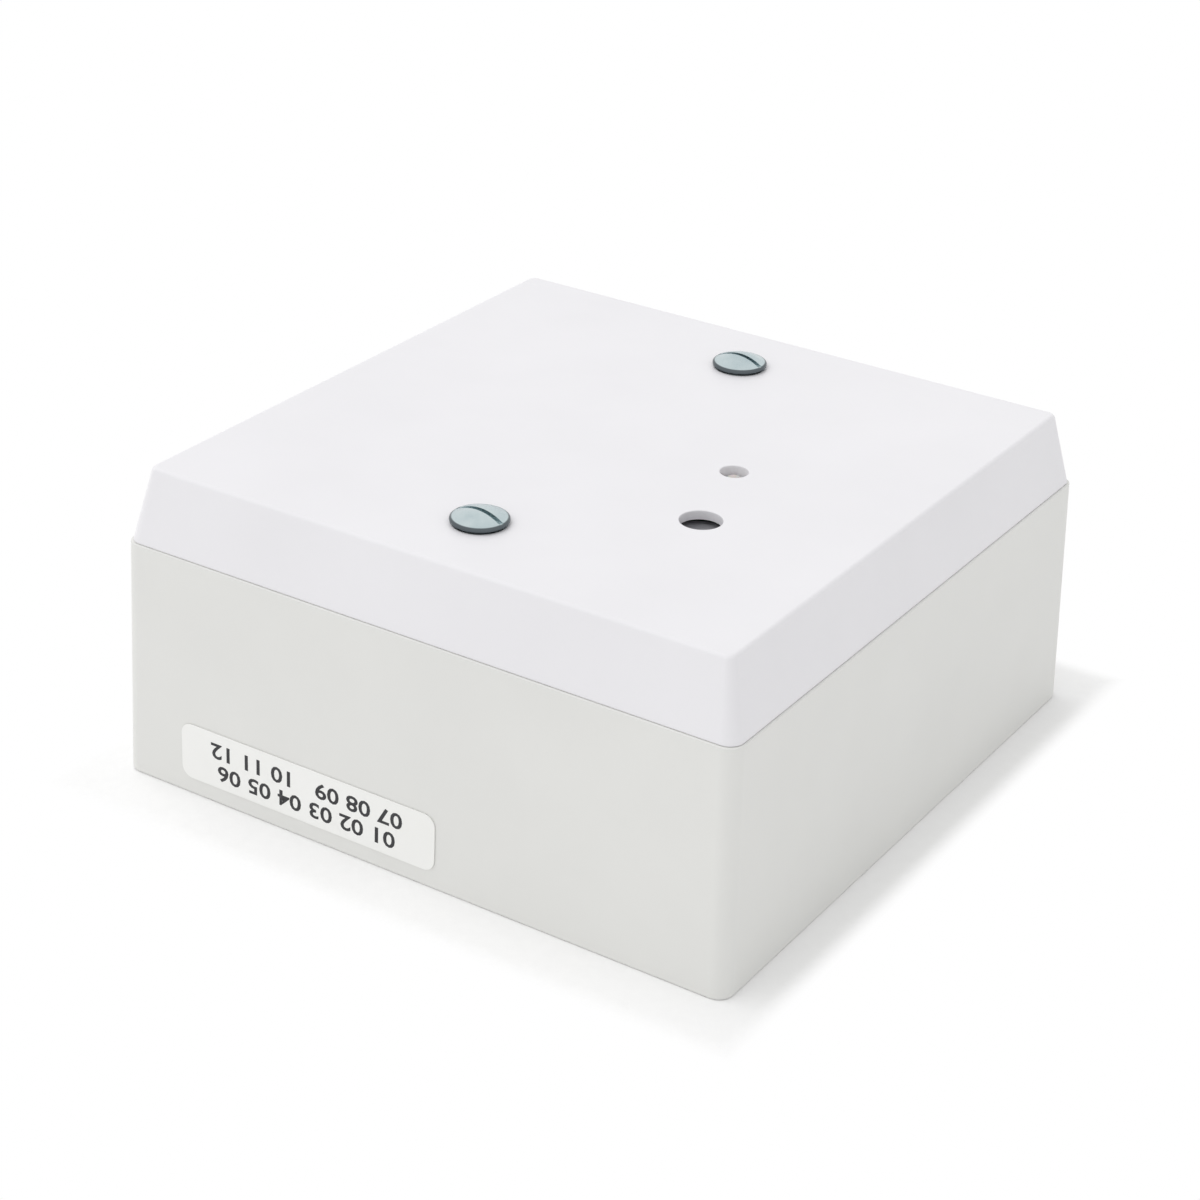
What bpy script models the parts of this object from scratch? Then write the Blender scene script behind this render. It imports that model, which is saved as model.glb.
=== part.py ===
"""A radio module for a smoke alarm system, in a square surface box.

The back box is screwed to a wall. The cover plate is held to it by two
screws, and carries everything else underneath it: the circuit board, the
cell, the radio board, the terminals and the switches. A test button sits
below a hole in the plate, and a status light stands in a smaller one.

The box stands on its back: +Z points out of the wall, -Y is the side with
the label. All values are in metres.
"""

import math

import bmesh
import bpy
from mathutils import Matrix, Vector

MM = 0.001

# Fits
SEAT_GAP = 0.3 * MM
SMALL_GAP = 0.2 * MM
MERGE_DISTANCE = 0.001 * MM
EMBED = 0.5 * MM
OVERCUT = 1.0 * MM

# Smoothness of round shapes
CORNER_STEPS = 4
FILLET_STEPS = 3
FINE_STEPS = 32
ROUND_STEPS = 24
SMALL_STEPS = 16
SHARP_ANGLE = math.radians(30)

# Back box
BOX_BASE_SIDE = 89.8 * MM
BOX_DRAFT_RUN = 0.9 * MM
BOX_HEIGHT = 32.25 * MM
BOX_WALL = 2.3 * MM
BOX_FLOOR = 2.2 * MM
BOX_CORNER_RADIUS = 2.1 * MM
BOX_INSIDE_RADIUS = 1.0 * MM
BOX_FOOT_RADIUS = 0.3 * MM
FIXING_CENTRES = 60.3 * MM
PILLAR_RADIUS = 4.6 * MM
PILLAR_DROP = 2.1 * MM
PILLAR_WEB = 1.6 * MM
WALL_SLOT_RADIUS = 2.0 * MM
WALL_SLOT_LENGTH = 8.0 * MM
CABLE_ENTRY_RADIUS = 10.0 * MM
KNOCKOUT_RADIUS = 10.0 * MM
KNOCKOUT_DEPTH = 1.1 * MM
KNOCKOUT_HEIGHT = 16.0 * MM

# Threaded inserts in the pillars
INSERT_RADIUS = 3.0 * MM
INSERT_LENGTH = 8.0 * MM

# Label on the front wall
LABEL_WIDTH = 39.4 * MM
LABEL_HEIGHT = 7.7 * MM
LABEL_RADIUS = 1.6 * MM
LABEL_THICKNESS = 0.12 * MM
LABEL_GAP = 0.05 * MM
LABEL_X = -15.5 * MM
LABEL_Z = 6.2 * MM

# Cover plate
COVER_REVEAL = 0.3 * MM
COVER_CHAMFER_RUN = 2.25 * MM
COVER_HEIGHT = 9.65 * MM
COVER_PLATE = 2.0 * MM
COVER_WALL = 2.2 * MM
COVER_TOP_CORNER = 1.1 * MM
COVER_EDGE_RADIUS = 0.6 * MM
SPIGOT_DEPTH = 2.0 * MM
SPIGOT_WALL = 1.4 * MM

# Cover screws
SCREW_RADIUS = 1.75 * MM
SCREW_LENGTH = 20.25 * MM
SCREW_TIP_RADIUS = 1.2 * MM
SCREW_TIP_LENGTH = 0.7 * MM
SCREW_TIP_ROOM = 2.0 * MM
SCREW_HEAD_RADIUS = 3.65 * MM
SCREW_HEAD_CONE = 1.5 * MM
SCREW_HEAD_RIM = 0.25 * MM
SCREW_HEAD_FLANK = 0.3 * MM
SCREW_HEAD_FLANK_RUN = 0.5 * MM
SCREW_HEAD_DOME = 0.85 * MM
SCREW_HEAD_LIFT = 0.55 * MM
SCREW_SLOT_WIDTH = 0.85 * MM
SCREW_SLOT_DEPTH = 1.2 * MM
SCREW_SLOT_TURN = math.radians(-4.5)
SCREW_RECESS_GAP = 0.35 * MM

# Circuit board and what holds it to the cover
BOARD_WIDTH = 66.0 * MM
BOARD_PILLAR_GAP = 1.55 * MM
BOARD_THICKNESS = 1.6 * MM
BOARD_CORNER = 1.5 * MM
POST_LENGTH = 5.9 * MM
POST_RADIUS = 3.0 * MM
POST_INSET = 3.5 * MM
BOARD_SCREW_RADIUS = 1.3 * MM
BOARD_SCREW_BITE = 4.2 * MM
BOARD_SCREW_HEAD_RADIUS = 2.6 * MM
BOARD_SCREW_HEAD = 1.6 * MM
BOARD_SCREW_CROSS = 0.7 * MM

# Test button
BUTTON_X = 20.8 * MM
BUTTON_Y = -14.0 * MM
BUTTON_HOLE_RADIUS = 2.65 * MM
BUTTON_LIP = 1.2 * MM
BUTTON_POCKET_RADIUS = 4.5 * MM
BUTTON_DEPTH = 1.9 * MM

# Push switches
SWITCH_SIDE = 6.0 * MM
SWITCH_HEIGHT = 3.5 * MM
SWITCH_FRAME = 0.3 * MM
SWITCH_RIVET_RADIUS = 0.55 * MM
SWITCH_RIVET_INSET = 0.95 * MM
PLUNGER_RADIUS = 1.7 * MM
PLUNGER_FLANGE = 0.55 * MM
PLUNGER_FLANGE_RADIUS = 2.3 * MM
PLUNGER_TRAVEL = 0.3 * MM
PLUNGER_EDGE = 0.2 * MM
PAIRING_X = 26.0 * MM
PAIRING_Y = -8.0 * MM
PAIRING_STEM = 1.5 * MM

# Status light
LED_X = 16.9 * MM
LED_Y = 0.3 * MM
LED_RADIUS = 1.5 * MM
LED_LENGTH = 5.3 * MM
LED_FLANGE_RADIUS = 1.9 * MM
LED_FLANGE = 1.0 * MM
LED_DEPTH = 0.55 * MM
LED_HOLE_GAP = 0.3 * MM
LED_LEAD_PITCH = 2.54 * MM
LED_LEAD = 0.5 * MM
LED_LEAD_TAIL = 1.3 * MM

# Cell, its tags, pad and tie
CELL_RADIUS = 8.5 * MM
CELL_LENGTH = 33.5 * MM
CELL_X = -10.2 * MM
CELL_Y = 10.6 * MM
CELL_EDGE = 0.7 * MM
CELL_NUB_RADIUS = 3.2 * MM
CELL_NUB = 1.1 * MM
CELL_PAD_LENGTH = 24.0 * MM
CELL_PAD_WIDTH = 7.0 * MM
CELL_PAD = 1.0 * MM
TAG_WIDTH = 4.0 * MM
TAG_THICKNESS = 0.3 * MM
TAG_DROP = 2.5 * MM
TIE_X = -4.0 * MM
TIE_WIDTH = 3.5 * MM
TIE_THICKNESS = 1.1 * MM
TIE_HEAD_LENGTH = 5.6 * MM
TIE_HEAD_WIDTH = 5.4 * MM
TIE_HEAD_HEIGHT = 3.6 * MM

# Battery switch
SLIDER_X = 14.0 * MM
SLIDER_Y = -19.3 * MM
SLIDER_TRAVEL = 2.0 * MM
SLIDER_KNOB_LENGTH = 2.0 * MM
SLIDER_KNOB_WIDTH = 1.8 * MM
SLIDER_KNOB_HEIGHT = 3.0 * MM
SLIDER_SHELL_LENGTH = 9.2 * MM
SLIDER_SHELL_WIDTH = 4.6 * MM
SLIDER_SHELL_HEIGHT = 4.2 * MM
SLIDER_SHELL_WALL = 0.4 * MM
SLIDER_BASE_HEIGHT = 1.4 * MM
SLIDER_CARRIAGE = 4.0 * MM

# Terminal block
WAYS = 4
WAY_PITCH = 5.08 * MM
TERMINAL_X = -14.2 * MM
TERMINAL_EDGE_INSET = 0.4 * MM
TERMINAL_WALL = 1.0 * MM
TERMINAL_ROOF = 0.7 * MM
TERMINAL_MOUTH = 1.2 * MM
TERMINAL_MOUTH_RADIUS = 1.5 * MM
CLAMP_SCREW_HEAD = 1.6 * MM
CLAMP_SCREW_HEAD_RADIUS = 1.7 * MM
CLAMP_SCREW_RADIUS = 1.0 * MM
CLAMP_SLOT_WIDTH = 0.5 * MM
CLAMP_SLOT_DEPTH = 0.8 * MM
CAGE_WIDTH = 3.6 * MM
CAGE_DEPTH = 4.0 * MM
CAGE_WALL = 0.8 * MM
CAGE_SIDE = 0.7 * MM
CAGE_TRAVEL = 1.5 * MM
TONGUE_WIDTH = 1.2 * MM
TONGUE_THICKNESS = 0.6 * MM
TONGUE_LIFT = 0.5 * MM
WIRE_ROOM = 2.0 * MM
WIRE_ENTRY_WIDTH = 3.0 * MM
PIN_THICKNESS = 0.8 * MM
PIN_TAIL = 0.8 * MM

# Radio board
RADIO_X = 20.0 * MM
RADIO_Y = 12.0 * MM
RADIO_LENGTH = 18.0 * MM
RADIO_WIDTH = 14.0 * MM
RADIO_THICKNESS = 0.8 * MM
HEADER_WAYS = 5
HEADER_PITCH = 2.54 * MM
HEADER_SIDE = 2.5 * MM
HEADER_INSET = 1.6 * MM
HEADER_PIN = 0.64 * MM
SHIELD_LENGTH = 13.0 * MM
SHIELD_WIDTH = 8.4 * MM
SHIELD_HEIGHT = 1.8 * MM
SHIELD_WALL = 0.3 * MM
SHIELD_INSET = 1.0 * MM
ANTENNA_RADIUS = 0.6 * MM
ANTENNA_Y = 3.0 * MM
ANTENNA_EDGE = 2.0 * MM
ANTENNA_RISE = 3.0 * MM
ANTENNA_END_GAP = 3.0 * MM
ANTENNA_BEND = 2.5 * MM

# Parts soldered to the underside of the board
CHIP_X = -16.0 * MM
CHIP_Y = -5.6 * MM
CHIP_LENGTH = 10.2 * MM
CHIP_WIDTH = 7.5 * MM
CHIP_HEIGHT = 2.2 * MM
CHIP_LEGS = 8
CHIP_LEG_PITCH = 1.27 * MM
CHIP_LEG_WIDTH = 0.42 * MM
CHIP_LEG_THICKNESS = 0.22 * MM
CHIP_LEG_REACH = 0.6 * MM
CHIP_LEG_FOOT = 0.8 * MM
CRYSTAL_X = 3.0 * MM
CRYSTAL_Y = -6.5 * MM
CRYSTAL_LENGTH = 10.8 * MM
CRYSTAL_WIDTH = 4.6 * MM
CRYSTAL_HEIGHT = 3.4 * MM
CRYSTAL_BRIM = 0.5 * MM
CAPACITOR_X = 3.0 * MM
CAPACITOR_Y = -17.5 * MM
CAPACITOR_RADIUS = 3.15 * MM
CAPACITOR_LENGTH = 6.4 * MM
CAPACITOR_EDGE = 0.5 * MM
CAPACITOR_BASE = 1.0 * MM
CAPACITOR_BASE_SIDE = 6.6 * MM

# Levels that follow from the sizes above
BOX_BASE_HALF = BOX_BASE_SIDE / 2
BOX_RIM_HALF = BOX_BASE_HALF - BOX_DRAFT_RUN
BOX_MOUTH_HALF = BOX_RIM_HALF - BOX_WALL
PILLAR_TOP = BOX_HEIGHT - PILLAR_DROP
FIXING_OFFSET = FIXING_CENTRES / 2
COVER_BASE = BOX_HEIGHT + SEAT_GAP
COVER_TOP = COVER_BASE + COVER_HEIGHT
COVER_CEILING = COVER_TOP - COVER_PLATE
COVER_BASE_HALF = BOX_RIM_HALF - COVER_REVEAL
COVER_TOP_HALF = COVER_BASE_HALF - COVER_CHAMFER_RUN
SPIGOT_HALF = BOX_MOUTH_HALF - SEAT_GAP
COVER_INSIDE_HALF = COVER_TOP_HALF - COVER_WALL
SCREW_SEAT = COVER_TOP + SCREW_HEAD_LIFT
BOARD_TOP = COVER_CEILING - POST_LENGTH - SEAT_GAP
BOARD_UNDER = BOARD_TOP - BOARD_THICKNESS
BOARD_HALF_X = BOARD_WIDTH / 2
BOARD_HALF_Y = FIXING_OFFSET - PILLAR_RADIUS - BOARD_PILLAR_GAP
POST_X = BOARD_HALF_X - POST_INSET
POST_Y = BOARD_HALF_Y - POST_INSET
BOARD_HOLE_RADIUS = BOARD_SCREW_RADIUS + SEAT_GAP
CELL_Z = BOARD_UNDER - SEAT_GAP - CELL_PAD - SEAT_GAP - CELL_RADIUS
TIE_REACH = CELL_RADIUS + SEAT_GAP
CAGE_OPENING = TONGUE_LIFT + TONGUE_THICKNESS + WIRE_ROOM
CAGE_HEIGHT = CAGE_WALL + CAGE_OPENING + CAGE_WALL
CHAMBER_HALF = CAGE_WIDTH / 2 + SEAT_GAP
CAGE_TOP = BOARD_UNDER - SEAT_GAP - TERMINAL_ROOF - SEAT_GAP
CAGE_UNDER = CAGE_TOP - CAGE_HEIGHT
CHAMBER_FLOOR = CAGE_UNDER - CAGE_TRAVEL - SEAT_GAP
CLAMP_HEAD_UNDER = CHAMBER_FLOOR - SMALL_GAP - CLAMP_SCREW_HEAD
TERMINAL_UNDER = CLAMP_HEAD_UNDER - SEAT_GAP - TERMINAL_MOUTH
TERMINAL_FRONT = -BOARD_HALF_Y + TERMINAL_EDGE_INSET
CAGE_FRONT = TERMINAL_FRONT + TERMINAL_WALL + SEAT_GAP
PIN_FRONT = CAGE_FRONT + CAGE_DEPTH + SEAT_GAP
TERMINAL_BACK = PIN_FRONT + PIN_THICKNESS + SEAT_GAP + TERMINAL_WALL
TONGUE_UNDER = CAGE_UNDER + CAGE_WALL + TONGUE_LIFT
RADIO_TOP = BOARD_UNDER - 2 * SMALL_GAP - HEADER_SIDE
RADIO_UNDER = RADIO_TOP - RADIO_THICKNESS
HEADER_Y = RADIO_Y - RADIO_WIDTH / 2 + HEADER_INSET


def clear_scene():
    """Remove every object that the file starts with."""
    for thing in list(bpy.data.objects):
        bpy.data.objects.remove(thing, do_unlink=True)


def material(name, colour, roughness, metallic=0.0, transmission=0.0):
    """A Principled material. The colour is linear RGB."""
    made = bpy.data.materials.new(name)
    made.use_nodes = True
    shader = made.node_tree.nodes["Principled BSDF"]
    shader.inputs["Base Color"].default_value = (*colour, 1.0)
    shader.inputs["Roughness"].default_value = roughness
    shader.inputs["Metallic"].default_value = metallic
    shader.inputs["Transmission Weight"].default_value = transmission
    made.diffuse_color = (*colour, 1.0)
    return made


def new_object(name, mesh, finish=None, parent=None, at=(0, 0, 0), turn=(0, 0, 0)):
    """Put a bmesh into the scene as a named object, and free the bmesh."""
    data = bpy.data.meshes.new(name)
    mesh.to_mesh(data)
    mesh.free()
    data.shade_smooth()
    data.set_sharp_from_angle(angle=SHARP_ANGLE)
    thing = bpy.data.objects.new(name, data)
    bpy.context.collection.objects.link(thing)
    thing.location = at
    thing.rotation_euler = turn
    thing.parent = parent
    if finish:
        data.materials.append(finish)
    return thing


def new_parent(name, at=(0, 0, 0), turn=(0, 0, 0)):
    """An empty that carries the pieces of one assembly."""
    empty = bpy.data.objects.new(name, None)
    bpy.context.collection.objects.link(empty)
    empty.location = at
    empty.rotation_euler = turn
    return empty


def combine(thing, operation, mesh):
    """Add a Boolean with a hidden helper that shares the object's place."""
    helper = new_object(f"{thing.name}_{operation.lower()}", mesh)
    helper.parent = thing.parent
    helper.location = thing.location
    helper.rotation_euler = thing.rotation_euler
    helper.hide_render = True
    helper.display_type = "WIRE"
    modifier = thing.modifiers.new(operation.title(), "BOOLEAN")
    modifier.operation = operation
    modifier.solver = "EXACT"
    modifier.object = helper


def cut(thing, *meshes):
    """Take closed meshes, which don't touch each other, out of an object."""
    combine(thing, "DIFFERENCE", joined(*meshes))


def fuse(thing, *meshes):
    """Unite an object with closed meshes, which don't touch each other."""
    combine(thing, "UNION", joined(*meshes))


def joined(*meshes):
    """One bmesh that holds the given ones side by side."""
    whole = bmesh.new()
    for mesh in meshes:
        data = bpy.data.meshes.new("joined")
        mesh.to_mesh(data)
        mesh.free()
        whole.from_mesh(data)
        bpy.data.meshes.remove(data)
    return whole


def moved(mesh, x=0.0, y=0.0, z=0.0):
    """The same bmesh, shifted."""
    bmesh.ops.translate(mesh, verts=mesh.verts, vec=(x, y, z))
    return mesh


def turned_over(mesh, angle, axis):
    """The same bmesh, rotated about an axis through its origin."""
    bmesh.ops.rotate(mesh, verts=mesh.verts, cent=(0, 0, 0), matrix=Matrix.Rotation(angle, 3, axis))
    return mesh


def block(low, high):
    """A box between two corners."""
    mesh = bmesh.new()
    bmesh.ops.create_cube(mesh, size=1.0)
    low, high = Vector(low), Vector(high)
    bmesh.ops.scale(mesh, verts=mesh.verts, vec=high - low)
    bmesh.ops.translate(mesh, verts=mesh.verts, vec=(low + high) / 2)
    return mesh


def turned(profile, steps=ROUND_STEPS, closed=False):
    """Spin a profile of (radius, height) points about Z.

    An open profile starts and ends on the axis. A closed one is a ring.
    """
    mesh = bmesh.new()
    points = [mesh.verts.new((radius, 0, height)) for radius, height in profile]
    lines = [mesh.edges.new(pair) for pair in zip(points, points[1:])]
    if closed:
        lines.append(mesh.edges.new((points[-1], points[0])))
    bmesh.ops.spin(
        mesh,
        geom=points + lines,
        axis=(0, 0, 1),
        cent=(0, 0, 0),
        angle=math.tau,
        steps=steps,
        use_merge=True,
    )
    bmesh.ops.remove_doubles(mesh, verts=mesh.verts, dist=MERGE_DISTANCE)
    bmesh.ops.recalc_face_normals(mesh, faces=mesh.faces)
    return mesh


def cylinder(radius, low, high, steps=ROUND_STEPS):
    """An upright cylinder on the Z axis."""
    return turned([(0, low), (radius, low), (radius, high), (0, high)], steps)


def loft(rings):
    """A closed skin through rings of equal point count, capped at both ends."""
    mesh = bmesh.new()
    loops = [[mesh.verts.new(point) for point in ring] for ring in rings]
    for first, second in zip(loops, loops[1:]):
        for index in range(len(first)):
            after = (index + 1) % len(first)
            mesh.faces.new((first[index], first[after], second[after], second[index]))
    mesh.faces.new(reversed(loops[0]))
    mesh.faces.new(loops[-1])
    bmesh.ops.recalc_face_normals(mesh, faces=mesh.faces)
    return mesh


def rectangle(half_x, half_y, radius, height):
    """Points of a rounded rectangle, anticlockwise, at one height."""
    corners = [(1, 1), (-1, 1), (-1, -1), (1, -1)]
    points = []
    for quarter, (side_x, side_y) in enumerate(corners):
        centre = Vector((side_x * (half_x - radius), side_y * (half_y - radius), height))
        for step in range(CORNER_STEPS + 1):
            angle = math.radians(90) * (quarter + step / CORNER_STEPS)
            points.append(centre + radius * Vector((math.cos(angle), math.sin(angle), 0)))
    return points


def slab(half_x, half_y, radius, low, high):
    """A plate with rounded corners."""
    return loft([rectangle(half_x, half_y, radius, low), rectangle(half_x, half_y, radius, high)])


def prism(outline, low_x, high_x):
    """A flat outline of (y, z) points, extruded along X."""
    return loft([[Vector((x, y, z)) for y, z in outline] for x in (low_x, high_x)])


def arc(centre, radius, start, end, steps):
    """Points (u, v) along an arc, both ends included."""
    angles = [start + (end - start) * step / steps for step in range(steps + 1)]
    u, v = centre
    return [(u + radius * math.cos(angle), v + radius * math.sin(angle)) for angle in angles]


def fillet(before, corner, after, radius, steps=FILLET_STEPS):
    """Points that round one corner of a path with an arc."""
    before, corner, after = Vector(before), Vector(corner), Vector(after)
    towards = (before - corner).normalized()
    away = (after - corner).normalized()
    half_angle = towards.angle(away) / 2
    bisector = (towards + away).normalized()
    centre = corner + bisector * (radius / math.sin(half_angle))
    start = corner + towards * (radius / math.tan(half_angle)) - centre
    end = corner + away * (radius / math.tan(half_angle)) - centre
    sweep = start.angle(end)
    points = []
    for step in range(steps + 1):
        share = sweep * step / steps
        points.append(centre + (start * math.sin(sweep - share) + end * math.sin(share)) / math.sin(sweep))
    return points


def wall_half(height):
    """Half the box's outer width at a height: its walls lean in slightly."""
    return BOX_BASE_HALF - BOX_DRAFT_RUN * height / BOX_HEIGHT


def back_box(finish):
    """The open box: drafted walls, two screw pillars, wall slots and a cable entry."""
    foot = fillet((0, 0, 0), (BOX_BASE_HALF, 0, 0), (BOX_RIM_HALF, 0, BOX_HEIGHT), BOX_FOOT_RADIUS)
    outside = [(point.x, point.z) for point in foot] + [(BOX_RIM_HALF, BOX_HEIGHT)]
    rings = []
    for half, height in outside:
        radius = BOX_CORNER_RADIUS - max(0.0, wall_half(height) - half)
        rings.append(rectangle(half, half, radius, height))
    rings.append(rectangle(BOX_MOUTH_HALF, BOX_MOUTH_HALF, BOX_INSIDE_RADIUS, BOX_HEIGHT))
    floor_half = wall_half(BOX_FLOOR) - BOX_WALL
    rings.append(rectangle(floor_half, floor_half, BOX_INSIDE_RADIUS, BOX_FLOOR))
    box = new_object("back_box", loft(rings), finish)
    fuse(box, *[pillar(side) for side in (-1, 1)])
    cut(box, *box_holes())


def pillar(side):
    """A screw pillar with its web to the nearest wall."""
    column = cylinder(PILLAR_RADIUS, BOX_FLOOR - EMBED, PILLAR_TOP)
    bmesh.ops.translate(column, verts=column.verts, vec=(0, side * FIXING_OFFSET, 0))
    reach = sorted((side * FIXING_OFFSET, side * (BOX_MOUTH_HALF + EMBED)))
    half = PILLAR_WEB / 2
    web = block((-half, reach[0], BOX_FLOOR - EMBED), (half, reach[1], PILLAR_TOP - SPIGOT_DEPTH))
    return united(column, web)


def united(first, second):
    """The Boolean union of two overlapping closed meshes."""
    body = new_object("union_body", first)
    fuse(body, second)
    graph = bpy.context.evaluated_depsgraph_get()
    mesh = bmesh.new()
    mesh.from_object(body, graph)
    for modifier in body.modifiers:
        bpy.data.objects.remove(modifier.object)
    bpy.data.objects.remove(body)
    return mesh


def box_holes():
    """Cutters for the insert bores, the wall slots, the cable entry and the knockouts."""
    cutters = [cylinder(CABLE_ENTRY_RADIUS, -OVERCUT, BOX_FLOOR + OVERCUT, FINE_STEPS)]
    bore_floor = SCREW_SEAT - SCREW_LENGTH - SCREW_TIP_ROOM
    pocket_floor = PILLAR_TOP - INSERT_LENGTH - SEAT_GAP
    tail = SCREW_RADIUS + SEAT_GAP
    pocket = INSERT_RADIUS + SEAT_GAP
    bore = [
        (0, min(bore_floor, pocket_floor - OVERCUT)),
        (tail, min(bore_floor, pocket_floor - OVERCUT)),
        (tail, pocket_floor),
        (pocket, pocket_floor),
        (pocket, PILLAR_TOP + OVERCUT),
        (0, PILLAR_TOP + OVERCUT),
    ]
    for side in (-1, 1):
        cutters.append(moved(turned(bore), y=side * FIXING_OFFSET))
        slot = slab(WALL_SLOT_LENGTH / 2, WALL_SLOT_RADIUS, WALL_SLOT_RADIUS, -OVERCUT, BOX_FLOOR + OVERCUT)
        cutters.append(moved(slot, x=side * FIXING_OFFSET))
    inner = wall_half(KNOCKOUT_HEIGHT) - BOX_WALL
    for quarter in range(4):
        disc = cylinder(KNOCKOUT_RADIUS, inner - OVERCUT, inner + KNOCKOUT_DEPTH, FINE_STEPS)
        disc = moved(turned_over(disc, math.radians(90), "Y"), z=KNOCKOUT_HEIGHT)
        cutters.append(turned_over(disc, math.radians(90) * quarter, "Z"))
    return cutters


def screw_insert(name, side, finish):
    """A brass insert that a cover screw bites in."""
    inner = SCREW_RADIUS + SEAT_GAP
    ring = [(inner, -INSERT_LENGTH), (INSERT_RADIUS, -INSERT_LENGTH), (INSERT_RADIUS, 0), (inner, 0)]
    new_object(name, turned(ring, closed=True), finish, at=(0, side * FIXING_OFFSET, PILLAR_TOP))


def date_label(finish):
    """The blank label low on the -Y wall, lying along the wall's draft."""
    draft = math.atan2(BOX_DRAFT_RUN, BOX_HEIGHT)
    plate = slab(LABEL_WIDTH / 2, LABEL_HEIGHT / 2, LABEL_RADIUS, LABEL_GAP, LABEL_GAP + LABEL_THICKNESS)
    at = (LABEL_X, -wall_half(LABEL_Z), LABEL_Z)
    new_object("date_label", plate, finish, at=at, turn=(math.radians(90) - draft, 0, 0))


def cover_plate(finish, parent):
    """The cover: a plate with steep sides, a spigot, screw bosses and board posts."""
    below = (COVER_BASE_HALF, 0, COVER_BASE)
    edge = (COVER_TOP_HALF, 0, COVER_TOP)
    top_edge = fillet(below, edge, (0, 0, COVER_TOP), COVER_EDGE_RADIUS)
    spigot_inner = SPIGOT_HALF - SPIGOT_WALL
    spigot_under = COVER_BASE - SPIGOT_DEPTH
    rings = [
        rectangle(COVER_INSIDE_HALF, COVER_INSIDE_HALF, BOX_INSIDE_RADIUS, COVER_CEILING),
        rectangle(spigot_inner, spigot_inner, BOX_INSIDE_RADIUS, COVER_BASE),
        rectangle(spigot_inner, spigot_inner, BOX_INSIDE_RADIUS, spigot_under),
        rectangle(SPIGOT_HALF, SPIGOT_HALF, BOX_INSIDE_RADIUS, spigot_under),
        rectangle(SPIGOT_HALF, SPIGOT_HALF, BOX_INSIDE_RADIUS, COVER_BASE),
        rectangle(COVER_BASE_HALF, COVER_BASE_HALF, BOX_CORNER_RADIUS, COVER_BASE),
    ]
    for point in top_edge:
        rings.append(rectangle(point.x, point.x, COVER_TOP_CORNER, point.z))
    cover = new_object("cover_plate", loft(rings), finish, parent)
    fuse(cover, *cover_posts())
    cut(cover, *cover_holes())


def cover_posts():
    """Bosses down to the pillars, and posts down to the board."""
    posts = []
    for side in (-1, 1):
        boss = cylinder(PILLAR_RADIUS, PILLAR_TOP + SEAT_GAP, COVER_CEILING + EMBED)
        posts.append(moved(boss, y=side * FIXING_OFFSET))
        for across in (-1, 1):
            post = cylinder(POST_RADIUS, BOARD_TOP + SEAT_GAP, COVER_CEILING + EMBED, SMALL_STEPS)
            posts.append(moved(post, x=across * POST_X, y=side * POST_Y))
    return posts


def cover_holes():
    """Cutters for the screws, the light, the button and the board screws."""
    recess = SCREW_HEAD_RADIUS + SCREW_RECESS_GAP
    clearance = SCREW_RADIUS + SEAT_GAP
    rim = SCREW_SEAT - SCREW_HEAD_RIM
    seat = [
        (0, PILLAR_TOP),
        (clearance, PILLAR_TOP),
        (clearance, rim - SCREW_HEAD_CONE),
        (recess, rim),
        (recess, COVER_TOP + OVERCUT),
        (0, COVER_TOP + OVERCUT),
    ]
    lip = COVER_TOP - BUTTON_LIP
    button = [
        (0, COVER_CEILING - OVERCUT),
        (BUTTON_POCKET_RADIUS, COVER_CEILING - OVERCUT),
        (BUTTON_POCKET_RADIUS, lip),
        (BUTTON_HOLE_RADIUS, lip),
        (BUTTON_HOLE_RADIUS, COVER_TOP + OVERCUT),
        (0, COVER_TOP + OVERCUT),
    ]
    led = cylinder(LED_RADIUS + LED_HOLE_GAP, COVER_CEILING - OVERCUT, COVER_TOP + OVERCUT)
    holes = [moved(turned(button, FINE_STEPS), BUTTON_X, BUTTON_Y), moved(led, LED_X, LED_Y)]
    bore_top = BOARD_TOP + BOARD_SCREW_BITE + SEAT_GAP
    for side in (-1, 1):
        holes.append(moved(turned(seat, FINE_STEPS), y=side * FIXING_OFFSET))
        for across in (-1, 1):
            bore = cylinder(BOARD_HOLE_RADIUS, BOARD_TOP, bore_top, SMALL_STEPS)
            holes.append(moved(bore, across * POST_X, side * POST_Y))
    return holes


def cover_screw(name, side, finish, parent):
    """A slotted screw with a raised countersunk head that stands proud. Its origin is on its axis."""
    crown = SCREW_HEAD_RADIUS - SCREW_HEAD_FLANK_RUN
    top = SCREW_HEAD_FLANK + SCREW_HEAD_DOME
    dome_radius = (crown**2 + SCREW_HEAD_DOME**2) / (2 * SCREW_HEAD_DOME)
    start = math.acos(crown / dome_radius)
    dome = arc((0, top - dome_radius), dome_radius, start, math.radians(90), CORNER_STEPS)
    profile = [
        (0, -SCREW_LENGTH),
        (SCREW_TIP_RADIUS, -SCREW_LENGTH),
        (SCREW_RADIUS, SCREW_TIP_LENGTH - SCREW_LENGTH),
        (SCREW_RADIUS, -SCREW_HEAD_RIM - SCREW_HEAD_CONE),
        (SCREW_HEAD_RADIUS, -SCREW_HEAD_RIM),
        (SCREW_HEAD_RADIUS, 0),
        *dome,
    ]
    screw = new_object(name, turned(profile), finish, parent, at=(0, side * FIXING_OFFSET, SCREW_SEAT))
    slot = block(
        (-SCREW_HEAD_RADIUS - OVERCUT, -SCREW_SLOT_WIDTH / 2, top - SCREW_SLOT_DEPTH),
        (SCREW_HEAD_RADIUS + OVERCUT, SCREW_SLOT_WIDTH / 2, top + OVERCUT),
    )
    cut(screw, turned_over(slot, SCREW_SLOT_TURN, "Z"))


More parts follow.
